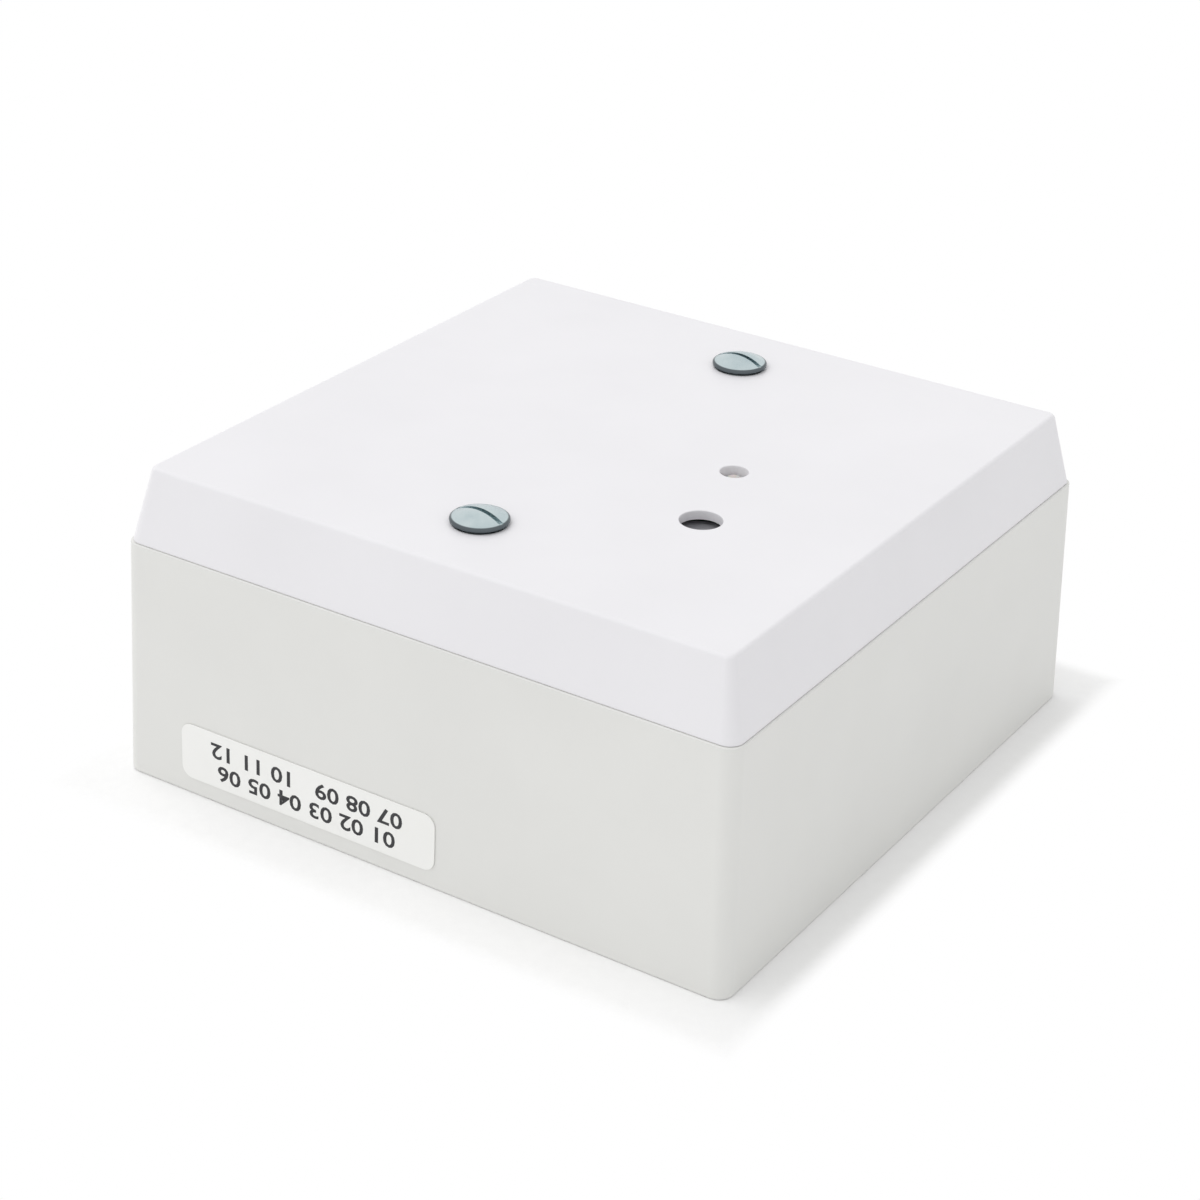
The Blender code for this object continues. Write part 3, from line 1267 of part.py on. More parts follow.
def main():
    """Build the whole module."""
    clear_scene()
    finishes = make_finishes()
    build_box(finishes)
    cover = new_parent("cover_assembly")
    build_cover(finishes, cover)
    build_controls(finishes)
    build_underside(finishes, cover)
    build_terminals(finishes, cover)


main()
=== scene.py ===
"""The looks of a radio module for a smoke alarm system, in a square surface box.

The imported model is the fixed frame: each class takes its places from the
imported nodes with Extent.of, and its finer sizes are its own fields. All
values are in metres, +Z points out of the wall, and -Y is the label's side.
"""

import logging
import math
from dataclasses import dataclass
from enum import Enum
from typing import Iterable, Sequence

import bmesh
import bpy
from mathutils import Matrix, Vector

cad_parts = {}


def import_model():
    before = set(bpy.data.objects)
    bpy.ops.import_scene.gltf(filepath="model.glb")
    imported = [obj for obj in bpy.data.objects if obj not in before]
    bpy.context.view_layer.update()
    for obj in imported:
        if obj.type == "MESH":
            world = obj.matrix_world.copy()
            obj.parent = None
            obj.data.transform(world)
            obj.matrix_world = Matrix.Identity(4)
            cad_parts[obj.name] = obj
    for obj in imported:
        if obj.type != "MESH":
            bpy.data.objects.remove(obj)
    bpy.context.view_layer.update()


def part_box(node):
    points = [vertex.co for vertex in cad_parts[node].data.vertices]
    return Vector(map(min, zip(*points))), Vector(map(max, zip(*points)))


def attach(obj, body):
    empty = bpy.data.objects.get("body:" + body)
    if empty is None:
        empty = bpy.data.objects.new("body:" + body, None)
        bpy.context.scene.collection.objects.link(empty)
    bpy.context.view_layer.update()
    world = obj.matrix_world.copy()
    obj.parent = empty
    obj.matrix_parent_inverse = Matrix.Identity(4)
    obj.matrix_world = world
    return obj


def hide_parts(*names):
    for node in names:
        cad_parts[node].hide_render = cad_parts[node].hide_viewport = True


MM = 0.001
TINY = 0.001 * MM
SPREAD = 100 * MM
OVERCUT = 1.0 * MM
SHARP_ANGLE = math.radians(32)
QUARTER = math.radians(90)
ROUND = 48
SMALL_ROUND = 24
CORNER = 8

Mesh = bmesh.types.BMesh
Material = bpy.types.Material
Thing = bpy.types.Object
Tree = bpy.types.NodeTree
Socket = bpy.types.NodeSocket
Path = Sequence[Sequence[float]]
Section = tuple[float, float, float, float]

log = logging.getLogger("scene")


# ---------------------------------------------------------------- places


@dataclass(frozen=True)
class Extent:
    """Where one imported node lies: its lowest and its highest corner."""

    low: Vector
    high: Vector

    @classmethod
    def of(cls, node: str) -> "Extent":
        """Read a node's extent from the frame.

        Args:
            node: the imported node's name.

        Returns:
            The node's extent at rest.
        """
        return cls(*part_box(node))

    @property
    def centre(self) -> Vector:
        """The middle of the node."""
        return (self.low + self.high) / 2

    @property
    def size(self) -> Vector:
        """The node's width, depth and height."""
        return self.high - self.low

    def at(self, mesh: Mesh, z: float = 0.0) -> Mesh:
        """Bring a mesh from the Z axis to the node's upright centre line, and raise it."""
        return moved(mesh, self.centre.x, self.centre.y, z)


# ---------------------------------------------------------------- shapes


class Operation(Enum):
    """What a Boolean does with the second mesh."""

    ADD = "UNION"
    CUT = "DIFFERENCE"


class Axis(Enum):
    """The axes that a shape is turned about."""

    X = "X"
    Y = "Y"
    Z = "Z"


def moved(mesh: Mesh, x: float = 0.0, y: float = 0.0, z: float = 0.0) -> Mesh:
    """Shift a mesh.

    Args:
        mesh: the mesh, which is changed.
        x: the shift along X.
        y: the shift along Y.
        z: the shift along Z.

    Returns:
        The same mesh.
    """
    bmesh.ops.translate(mesh, verts=mesh.verts, vec=(x, y, z))
    return mesh


def rotated(mesh: Mesh, angle: float, axis: Axis) -> Mesh:
    """Turn a mesh about an axis through the origin.

    Args:
        mesh: the mesh, which is changed.
        angle: the angle in radians.
        axis: the axis.

    Returns:
        The same mesh.
    """
    turn = Matrix.Rotation(angle, 3, axis.value)
    bmesh.ops.rotate(mesh, verts=mesh.verts, cent=(0, 0, 0), matrix=turn)
    return mesh


def joined(meshes: Iterable[Mesh]) -> Mesh:
    """Put meshes side by side in one, without a Boolean.

    Args:
        meshes: the meshes, which are freed.

    Returns:
        The mesh that holds them all.
    """
    whole = bmesh.new()
    for mesh in meshes:
        data = bpy.data.meshes.new("joined")
        mesh.to_mesh(data)
        mesh.free()
        whole.from_mesh(data)
        bpy.data.meshes.remove(data)
    return whole


def block(low: Sequence[float], high: Sequence[float], edge: float = 0.0, segments: int = 2) -> Mesh:
    """A box between two corners, with rounded edges.

    Args:
        low: the lowest corner.
        high: the highest corner.
        edge: the radius of every edge.
        segments: the steps across each rounded edge.

    Returns:
        The box.
    """
    low, high = Vector(low), Vector(high)
    mesh = bmesh.new()
    bmesh.ops.create_cube(mesh, size=1.0)
    bmesh.ops.scale(mesh, verts=mesh.verts, vec=high - low)
    bmesh.ops.translate(mesh, verts=mesh.verts, vec=(low + high) / 2)
    if edge:
        bmesh.ops.bevel(
            mesh, geom=mesh.edges[:], offset=edge, segments=segments, affect="EDGES", profile=0.5,
            material=-1,
        )
    return mesh


def turned(profile: Path, steps: int = ROUND, closed: bool = False) -> Mesh:
    """Spin a profile about Z.

    Args:
        profile: the (radius, height) points; an open one starts and ends on the axis.
        steps: the steps in the full turn.
        closed: whether the profile is a ring that is joined back to its start.

    Returns:
        The turned solid.
    """
    mesh = bmesh.new()
    points = [mesh.verts.new((radius, 0, height)) for radius, height in profile]
    lines = [mesh.edges.new(pair) for pair in zip(points, points[1:])]
    if closed:
        lines.append(mesh.edges.new((points[-1], points[0])))
    bmesh.ops.spin(
        mesh, geom=points + lines, axis=(0, 0, 1), cent=(0, 0, 0), angle=math.tau, steps=steps,
        use_merge=True,
    )
    bmesh.ops.remove_doubles(mesh, verts=mesh.verts, dist=TINY)
    bmesh.ops.recalc_face_normals(mesh, faces=mesh.faces)
    return mesh


def rod(radius: float, low: float, high: float, edge: float = 0.0, steps: int = SMALL_ROUND) -> Mesh:
    """An upright cylinder on the Z axis, with both rims rounded.

    Args:
        radius: the cylinder's radius.
        low: the height of its lower end.
        high: the height of its upper end.
        edge: the radius of its rims.
        steps: the steps round it.

    Returns:
        The cylinder.
    """
    if not edge:
        return turned([(0, low), (radius, low), (radius, high), (0, high)], steps)
    lower = arc((radius - edge, low + edge), edge, -QUARTER, 0, 3)
    upper = arc((radius - edge, high - edge), edge, 0, QUARTER, 3)
    return turned([(0, low), *lower, *upper, (0, high)], steps)


def arc(centre: Sequence[float], radius: float, start: float, end: float, steps: int) -> list[tuple]:
    """Points along an arc in a plane.

    Args:
        centre: the arc's centre.
        radius: the arc's radius.
        start: the first angle.
        end: the last angle.
        steps: the steps between them.

    Returns:
        The points, both ends included.
    """
    u, v = centre
    angles = [start + (end - start) * step / steps for step in range(steps + 1)]
    return [(u + radius * math.cos(angle), v + radius * math.sin(angle)) for angle in angles]


def outline(mesh: Mesh, section: Section, segments: int) -> bmesh.types.BMFace:
    """Add one flat rounded rectangle to a mesh.

    Args:
        mesh: the mesh to add to.
        section: the half width, half depth, corner radius and height.
        segments: the steps round each corner.

    Returns:
        The new face.
    """
    half_x, half_y, radius, height = section
    known = set(mesh.faces)
    corners = bmesh.ops.create_grid(mesh, x_segments=1, y_segments=1, size=1.0)["verts"]
    bmesh.ops.scale(mesh, verts=corners, vec=(half_x, half_y, 1.0))
    bmesh.ops.translate(mesh, verts=corners, vec=(0, 0, height))
    bmesh.ops.bevel(
        mesh, geom=corners, offset=radius, segments=segments, affect="VERTICES", profile=0.5, material=-1,
    )
    return next(face for face in mesh.faces if face not in known)


def lofted(sections: Sequence[Section], segments: int = CORNER) -> Mesh:
    """A closed skin through rounded rectangles, in order.

    Args:
        sections: each section's half width, half depth, corner radius and height.
        segments: the steps round each corner.

    Returns:
        The solid, capped by its first and its last section.
    """
    mesh = bmesh.new()
    # Bridged well apart, one above the other: the operator can turn a loop that is level with the next.
    faces = [outline(mesh, (*section[:3], step * SPREAD), segments) for step, section in enumerate(sections)]
    rings = [list(face.verts) for face in faces]
    rims = [list(face.edges) for face in faces]
    bmesh.ops.delete(mesh, geom=faces[1:-1], context="FACES_ONLY")
    for first, second in zip(rims, rims[1:]):
        bmesh.ops.bridge_loops(mesh, edges=first + second)
    for ring, section in zip(rings, sections):
        for vert in ring:
            vert.co.z = section[3]
    bmesh.ops.recalc_face_normals(mesh, faces=mesh.faces)
    return mesh


def combined(mesh: Mesh, operation: Operation, others: Iterable[Mesh]) -> Mesh:
    """Apply exact Booleans, one mesh after another.

    Args:
        mesh: the mesh to start from, which is freed.
        operation: whether the others are added or cut away.
        others: closed meshes, which are freed.

    Returns:
        The new mesh.
    """
    base = loose_object("base", mesh)
    helpers = [loose_object("helper", other) for other in others]
    for helper in helpers:
        modifier = base.modifiers.new(helper.name, "BOOLEAN")
        modifier.operation = operation.value
        modifier.solver = "EXACT"
        modifier.object = helper
    result = bmesh.new()
    result.from_object(base, bpy.context.evaluated_depsgraph_get())
    for thing in (base, *helpers):
        data = thing.data
        bpy.data.objects.remove(thing)
        bpy.data.meshes.remove(data)
    return result


def loose_object(name: str, mesh: Mesh) -> Thing:
    """Put a mesh into the scene as an object, and free it.

    Args:
        name: the object's name.
        mesh: the mesh.

    Returns:
        The new object.
    """
    data = bpy.data.meshes.new(name)
    mesh.to_mesh(data)
    mesh.free()
    thing = bpy.data.objects.new(name, data)
    bpy.context.collection.objects.link(thing)
    return thing


def strip(points: Path, width: float, low: float, high: float) -> Mesh:
    """A flat track that follows a path, with round corners and ends.

    Args:
        points: the path's (x, y) points.
        width: the track's width.
        low: its lower height.
        high: its upper height.

    Returns:
        The track, as overlapping closed pieces.
    """
    pieces = [moved(rod(width / 2, low, high, steps=8), x, y) for x, y in points]
    for (x0, y0), (x1, y1) in zip(points, points[1:]):
        length = math.hypot(x1 - x0, y1 - y0)
        run = block((0, -width / 2, low), (length, width / 2, high))
        rotated(run, math.atan2(y1 - y0, x1 - x0), Axis.Z)
        pieces.append(moved(run, x0, y0))
    return joined(pieces)


def helix(radius: float, depth: float, pitch: float, low: float, high: float) -> Mesh:
    """A screw thread's ridge round the Z axis.

    Args:
        radius: the crest's radius.
        depth: the ridge's height above the core.
        pitch: the rise of one turn.
        low: where the ridge starts.
        high: where it ends.

    Returns:
        The ridge, as one closed piece.
    """
    turns = (high - low) / pitch - 1
    steps = int(turns * SMALL_ROUND)
    half = pitch * 0.42
    mesh = bmesh.new()
    ridge = [(radius - depth, low), (radius, low + half), (radius - depth, low + 2 * half)]
    corners = [mesh.verts.new((u, 0, v)) for u, v in ridge]
    face = mesh.faces.new(corners)
    bmesh.ops.spin(
        mesh, geom=[face], axis=(0, 0, 1), cent=(0, 0, 0), dvec=(0, 0, turns * pitch / steps),
        angle=math.tau * turns, steps=steps, use_duplicate=False,
    )
    bmesh.ops.holes_fill(mesh, edges=[edge for edge in mesh.edges if edge.is_boundary], sides=3)
    bmesh.ops.recalc_face_normals(mesh, faces=mesh.faces)
    return mesh


def tube(points: Path, radius: float, steps: int = 6) -> Mesh:
    """A round wire along a smooth path, closed at both ends.

    Args:
        points: the path's points.
        radius: the wire's radius.
        steps: the roundness of the wire.

    Returns:
        The wire.
    """
    curve = bpy.data.curves.new("tube", "CURVE")
    curve.dimensions = "3D"
    curve.bevel_depth = radius
    curve.bevel_resolution = steps
    curve.use_fill_caps = True
    line = curve.splines.new("POLY")
    line.points.add(len(points) - 1)
    for slot, point in zip(line.points, points):
        slot.co = (*point, 1.0)
    return meshed(curve)


def meshed(curve: bpy.types.Curve) -> Mesh:
    """Turn a curve or a text into a mesh, and remove it.

    Args:
        curve: the curve or text data.

    Returns:
        Its surface.
    """
    thing = bpy.data.objects.new("curve", curve)
    bpy.context.collection.objects.link(thing)
    shown = thing.evaluated_get(bpy.context.evaluated_depsgraph_get())
    data = bpy.data.meshes.new_from_object(shown)
    mesh = bmesh.new()
    mesh.from_mesh(data)
    bpy.data.objects.remove(thing)
    bpy.data.curves.remove(curve)
    bpy.data.meshes.remove(data)
    bmesh.ops.remove_doubles(mesh, verts=mesh.verts, dist=TINY)
    bmesh.ops.recalc_face_normals(mesh, faces=mesh.faces)
    return mesh


def numerals(text: str, height: float, thickness: float) -> Mesh:
    """Flat figures, centred on the origin and facing +Z.

    Args:
        text: the figures.
        height: the figures' height.
        thickness: how far they stand up.

    Returns:
        The figures' mesh.
    """
    curve = bpy.data.curves.new("numerals", "FONT")
    curve.body = text
    curve.size = height / 0.72
    curve.align_x = "CENTER"
    curve.align_y = "CENTER"
    curve.offset = height * 0.025
    curve.extrude = thickness / 2
    curve.resolution_u = 3
    return meshed(curve)


# ---------------------------------------------------------------- finishes


def linear(colour: str) -> tuple[float, float, float, float]:
    """Turn an sRGB hex colour to linear light.

    Args:
        colour: six hex digits after a hash sign.

    Returns:
        The linear red, green and blue, and a full alpha.
    """
    shares = [int(colour[start : start + 2], 16) / 255 for start in (1, 3, 5)]
    red, green, blue = (((s + 0.055) / 1.055) ** 2.4 if s > 0.04045 else s / 12.92 for s in shares)
    return red, green, blue, 1.0


def add_node(tree: Tree, kind: str, inputs: dict | None = None, **settings: object) -> bpy.types.Node:
    """Add a node to a tree, with its settings, values and links.

    Args:
        tree: the node tree.
        kind: the node's type name.
        inputs: each input's value, or the output that is linked to it.
        settings: the node's own properties.

    Returns:
        The new node.
    """
    node = tree.nodes.new(kind)
    for name, value in settings.items():
        setattr(node, name, value)
    for name, value in (inputs or {}).items():
        if isinstance(value, Socket):
            tree.links.new(value, node.inputs[name])
        else:
            node.inputs[name].default_value = value
    return node


def per_metre(size: float) -> float:
    """The pattern scale that repeats once in a real size given in metres."""
    return 1.0 / size


@dataclass(frozen=True)
class Finish:
    """A surface with two close colours, a soft variation of gloss, and a fine relief.

    The fields say what the real surface shows: its colours, how rough it is,
    how wide its grain and its cloudiness are, and how deep the grain goes.
    """

    name: str
    slot: str
    colour: str
    shade: str
    roughness: float
    roughness_spread: float = 0.04
    grain: float = 0.4 * MM
    relief: float = 0.002 * MM
    cloud: float = 18.0 * MM
    metallic: float = 0.0
    stretch: tuple[float, float, float] = (1.0, 1.0, 1.0)
    coat: float = 0.0
    subsurface: float = 0.0
    transmission: float = 0.0

    def material(self) -> Material:
        """The Blender material, which is made on first use."""
        known = bpy.data.materials.get(self.name)
        return known or self.make()

    def make(self) -> Material:
        """Build the node tree.

        Returns:
            The new material.
        """
        made = bpy.data.materials.new(self.name)
        made.use_nodes = True
        tree = made.node_tree
        shader = tree.nodes["Principled BSDF"]
        shader.inputs["Metallic"].default_value = self.metallic
        shader.inputs["Coat Weight"].default_value = self.coat
        shader.inputs["Coat Roughness"].default_value = 0.12
        shader.inputs["Transmission Weight"].default_value = self.transmission
        shader.inputs["Subsurface Weight"].default_value = self.subsurface
        shader.inputs["Subsurface Scale"].default_value = 1.5 * MM
        place = add_node(tree, "ShaderNodeTexCoord").outputs["Object"]
        tree.links.new(self.colours(tree, place), shader.inputs["Base Color"])
        tree.links.new(self.gloss(tree, place), shader.inputs["Roughness"])
        tree.links.new(self.surface(tree, place), shader.inputs["Normal"])
        return made

    def cloudiness(self, tree: Tree, place: Socket) -> Socket:
        """A slow, soft variation over the piece."""
        inputs = {"Vector": place, "Scale": per_metre(self.cloud), "Detail": 3.0}
        return add_node(tree, "ShaderNodeTexNoise", inputs).outputs["Fac"]

    def colours(self, tree: Tree, place: Socket) -> Socket:
        """The colour: the shade shows where the cloudiness is strong.

        Args:
            tree: the material's node tree.
            place: the point on the piece.

        Returns:
            The colour.
        """
        ramp = add_node(tree, "ShaderNodeValToRGB", {"Fac": self.cloudiness(tree, place)})
        ramp.color_ramp.elements[0].position = 0.3
        ramp.color_ramp.elements[1].position = 0.72
        ramp.color_ramp.elements[0].color = linear(self.colour)
        ramp.color_ramp.elements[1].color = linear(self.shade)
        return ramp.outputs["Color"]

    def gloss(self, tree: Tree, place: Socket) -> Socket:
        """The roughness: handled and moulded surfaces are never evenly glossy.

        Args:
            tree: the material's node tree.
            place: the point on the piece.

        Returns:
            The roughness.
        """
        inputs = {
            "Value": self.cloudiness(tree, place), "To Min": self.roughness - self.roughness_spread,
            "To Max": self.roughness + self.roughness_spread,
        }
        return add_node(tree, "ShaderNodeMapRange", inputs).outputs["Result"]

    def surface(self, tree: Tree, place: Socket) -> Socket:
        """The relief: a fine grain, drawn out along the brushing where there is any.

        Args:
            tree: the material's node tree.
            place: the point on the piece.

        Returns:
            The normal.
        """
        mapped = add_node(tree, "ShaderNodeMapping", {"Vector": place, "Scale": self.stretch})
        inputs = {"Vector": mapped.outputs["Vector"], "Scale": per_metre(self.grain), "Detail": 2.0}
        grain = add_node(tree, "ShaderNodeTexNoise", inputs).outputs["Fac"]
        return add_node(tree, "ShaderNodeBump", {"Height": grain, "Distance": self.relief}).outputs["Normal"]


@dataclass(frozen=True)
class BoardFinish(Finish):
    """Glass-epoxy board: solder mask on its faces, pale woven glass on its cut edges."""

    edge: str = "#b9a874"
    weave: float = 0.9 * MM

    def colours(self, tree: Tree, place: Socket) -> Socket:
        """Mask green on faces that look up or down, with the weave just showing through.

        Args:
            tree: the material's node tree.
            place: the point on the piece.

        Returns:
            The colour.
        """
        inputs = {"Vector": place, "Scale": per_metre(self.weave), "Distortion": 0.4}
        weave = add_node(tree, "ShaderNodeTexWave", inputs, bands_direction="DIAGONAL")
        mask = add_node(
            tree, "ShaderNodeMix",
            {"Factor": weave.outputs["Fac"], 6: linear(self.colour), 7: linear(self.shade)}, data_type="RGBA",
        )
        facing = add_node(tree, "ShaderNodeNewGeometry").outputs["Normal"]
        height = add_node(tree, "ShaderNodeSeparateXYZ", {"Vector": facing}).outputs["Z"]
        upright = add_node(tree, "ShaderNodeMath", {0: height}, operation="ABSOLUTE").outputs[0]
        on_face = add_node(tree, "ShaderNodeMath", {0: upright, 1: 0.7}, operation="GREATER_THAN")
        inputs = {"Factor": on_face.outputs[0], 6: linear(self.edge), 7: mask.outputs[2]}
        return add_node(tree, "ShaderNodeMix", inputs, data_type="RGBA").outputs[2]


@dataclass(frozen=True)
class LatheFinish(Finish):
    """Turned and plated metal: rings from the lathe tool run round the piece's own axis."""

    ring: float = 0.16 * MM
    axis_x: float = 0.0
    axis_y: float = 0.0
    # Painted shade: past the crown's radius the flank takes a darker colour that stands for the dark
    # reflections and shade round the head's rim.
    crown: float = 3.3 * MM
    flank: str = "#5d6468"

    def centred(self, tree: Tree, place: Socket) -> Socket:
        """The place as seen from the piece's own axis."""
        inputs = {"Vector": place, "Location": (-self.axis_x, -self.axis_y, 0)}
        return add_node(tree, "ShaderNodeMapping", inputs).outputs["Vector"]

    def colours(self, tree: Tree, place: Socket) -> Socket:
        """Bright on the crown, and a painted shade on the flank round it: a darker colour that stands for the
        dark reflections and shade round the head.

        Args:
            tree: the material's node tree.
            place: the point on the piece.

        Returns:
            The colour.
        """
        bright = super().colours(tree, place)
        flat = add_node(
            tree, "ShaderNodeVectorMath", {0: self.centred(tree, place), 1: (1, 1, 0)}, operation="MULTIPLY",
        )
        reach = add_node(tree, "ShaderNodeVectorMath", {0: flat.outputs["Vector"]}, operation="LENGTH")
        inputs = {
            "Value": reach.outputs["Value"], "From Min": self.crown, "From Max": self.crown + 0.15 * MM,
        }
        painted_flank_shade = add_node(tree, "ShaderNodeMapRange", inputs).outputs["Result"]
        inputs = {"Factor": painted_flank_shade, 6: bright, 7: linear(self.flank)}
        return add_node(tree, "ShaderNodeMix", inputs, data_type="RGBA").outputs[2]

    def surface(self, tree: Tree, place: Socket) -> Socket:
        """Fine rings round the piece's axis, broken up by small scuffs.

        Args:
            tree: the material's node tree.
            place: the point on the piece.

        Returns:
            The normal.
        """
        centred = self.centred(tree, place)
        inputs = {"Vector": centred, "Scale": per_metre(self.ring), "Distortion": 0.6}
        rings = add_node(tree, "ShaderNodeTexWave", inputs, wave_type="RINGS", rings_direction="Z")
        inputs = {"Vector": centred, "Scale": per_metre(self.grain), "Detail": 4.0}
        scuffs = add_node(tree, "ShaderNodeTexNoise", inputs)
        height = add_node(
            tree, "ShaderNodeMix", {"Factor": 0.5, 2: rings.outputs["Fac"], 3: scuffs.outputs["Fac"]},
        )
        inputs = {"Height": height.outputs[0], "Distance": self.relief}
        return add_node(tree, "ShaderNodeBump", inputs).outputs["Normal"]


# Moulded ABS, faintly warm: satin walls with a very fine spark-eroded grain that softens the highlights.
BOX_PLASTIC = Finish("moulded_abs_box", "box_plastic", "#e8e8e5", "#e5e5e2", 0.42, grain=0.35 * MM)
# Moulded ABS, a little cooler and smoother than the box, so the two shades part at the seam.
COVER_PLASTIC = Finish("moulded_abs_cover", "cover_plastic", "#f0eff2", "#edecef", 0.36, grain=0.35 * MM)
# Coated label stock: matt, white, with paper fibre just visible.
LABEL_STOCK = Finish("coated_label_stock", "label_paper", "#f9f9f7", "#f5f5f2", 0.62, grain=0.25 * MM)
# Thermal print: dull black with an uneven edge to its gloss.
LABEL_PRINT = Finish("thermal_print_black", "label_paper", "#28282b", "#323235", 0.55, grain=0.2 * MM)
# Bright zinc plate with a clear blue passivation: a cold, faintly blue mirror with fine scuffs.
ZINC_PLATE = Finish(
    "blue_passivated_zinc_plate", "zinc_plate", "#c3d4d9", "#aebfc6", 0.24, 0.07, grain=0.6 * MM,
    relief=0.006 * MM, cloud=3.0 * MM, metallic=1.0,
)
# Turned brass: yellow, with lathe rings.
TURNED_BRASS = Finish("turned_brass", "brass", "#d8b463", "#c29c4c", 0.3, 0.06, metallic=1.0, cloud=2.0 * MM)
# Tin-plated sheet steel: soft, slightly grey, with faint rolling lines along X.
TINNED_STEEL = Finish(
    "tin_plated_sheet_steel", "tinned_steel", "#cfcfcb", "#bdbdb8", 0.32, 0.06, grain=0.15 * MM,
    relief=0.003 * MM, cloud=4.0 * MM, metallic=1.0, stretch=(0.08, 1.0, 1.0),
)
# Nickel plate: warm grey and smooth.
NICKEL_PLATE = Finish(
    "nickel_plate", "nickel", "#cfc8ba", "#bab3a6", 0.26, 0.05, cloud=3.0 * MM, metallic=1.0,
)
# Drawn aluminium: pale, with lines from drawing along its length.
DRAWN_ALUMINIUM = Finish(
    "drawn_aluminium", "aluminium", "#dcdcdf", "#cdcdd1", 0.28, 0.05, grain=0.12 * MM, relief=0.003 * MM,
    cloud=5.0 * MM, metallic=1.0, stretch=(1.0, 1.0, 0.06),
)
# Screen-printed solder mask over woven glass: deep green and glossy.
SOLDER_MASK = BoardFinish("green_solder_mask", "solder_mask", "#0f5a2c", "#12632f", 0.3, coat=0.4)
# Copper under the same mask: the tracks look a lighter, yellower green.
MASKED_COPPER = Finish("copper_under_mask", "solder_mask", "#2d8242", "#2a7a3e", 0.3, coat=0.4)
# Reflowed tin-lead-free solder: bright, slightly lumpy.
SOLDER = Finish(
    "reflowed_solder", "tinned_steel", "#c9cbcc", "#b3b6b8", 0.27, 0.08, grain=0.5 * MM, relief=0.02 * MM,
    metallic=1.0,
)
# Screen-printed epoxy ink: dead matt white, a little thin.
BOARD_INK = Finish("white_epoxy_ink", "white_plastic", "#e6e8e2", "#d6dad2", 0.7, cloud=2.0 * MM)
# Fired ceramic: dull tan.
CERAMIC = Finish("fired_ceramic", "white_plastic", "#b08f68", "#a28159", 0.5, cloud=1.0 * MM)
# Printed ink on a metal can: black, a little glossy.
CAN_INK = Finish("black_can_ink", "black_plastic", "#1c1c20", "#26262a", 0.4)
# Acetal, dyed grey: a dull, slightly worn push button.
GREY_ACETAL = Finish("dyed_grey_acetal", "black_plastic", "#8a8a8e", "#7c7c80", 0.4, cloud=1.2 * MM)
# Glass-filled moulding, black: low gloss with a coarse grain.
BLACK_PLASTIC = Finish(
    "black_glass_filled_nylon", "black_plastic", "#232326", "#2b2b2f", 0.48, relief=0.006 * MM,
)
# Transfer-moulded epoxy of a chip: charcoal, evenly sandy.
CHIP_EPOXY = Finish("transfer_moulded_epoxy", "black_plastic", "#2a2a2d", "#303034", 0.6, grain=0.18 * MM)
# Polyamide terminal moulding: mid green, satin.
GREEN_PLASTIC = Finish("green_polyamide", "green_plastic", "#2f8f4e", "#2a8548", 0.42, relief=0.004 * MM)
# Acetal slider: waxy yellow.
YELLOW_PLASTIC = Finish("yellow_acetal", "yellow_plastic", "#edc52f", "#e2b824", 0.38, subsurface=0.15)
# Natural nylon: waxy off-white, lets a little light in.
WHITE_PLASTIC = Finish("natural_nylon", "white_plastic", "#ebe9e1", "#e2e0d6", 0.44, subsurface=0.2)
# Open-cell foam: black and pitted.
FOAM = Finish(
    "open_cell_foam", "foam", "#38383a", "#1c1c1e", 0.95, grain=0.5 * MM, relief=0.15 * MM, cloud=0.6 * MM,
)
# Diffused epoxy lens: milky, slightly beige, with a clear skin.
LENS = Finish(
    "diffused_epoxy_lens", "lens", "#d9d4d0", "#cfcac6", 0.3, coat=0.5, subsurface=0.3, transmission=0.15,
)
# PVC shrink sleeve: deep blue and glossy, tight over the can.
SLEEVE = Finish(
    "pvc_shrink_sleeve", "sleeve", "#2b4d96", "#27478c", 0.28, coat=0.3, grain=1.2 * MM, relief=0.01 * MM,
)
# Polyethylene wire insulation: soft grey-white.
WIRE_SLEEVE = Finish("polyethylene_insulation", "antenna_sleeve", "#dedcd4", "#d3d1c8", 0.46, subsurface=0.1)


def make_piece(name: str, mesh: Mesh, finish: Finish, body: str, stands_for: Sequence[str] = ()) -> Thing:
    """Turn a mesh into a finished piece that rides on a body.

    Args:
        name: the piece's name.
        mesh: its mesh, in place.
        finish: its finish.
        body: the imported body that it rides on.
        stands_for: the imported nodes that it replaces.

    Returns:
        The piece.
    """
    thing = loose_object(name, mesh)
    thing.data.shade_smooth()
    thing.data.set_sharp_from_angle(angle=SHARP_ANGLE)
    thing.data.materials.clear()
    thing.data.materials.append(finish.material())
    weighted = thing.modifiers.new("Weighted", "WEIGHTED_NORMAL")
    weighted.keep_sharp = True
    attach(thing, body)
    if stands_for:
        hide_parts(*stands_for)
    log.info("%s: %d faces, %s, on %s", name, len(thing.data.polygons), finish.name, body)
    return thing


def dress_nodes(names: Iterable[str], finish: Finish) -> None:
    """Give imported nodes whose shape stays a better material.

    Args:
        names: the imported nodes.
        finish: their finish.
    """
    for name in names:
        for slot in bpy.data.objects[name].material_slots:
            slot.material = finish.material()
        log.info("%s: packed shape, %s", name, finish.name)


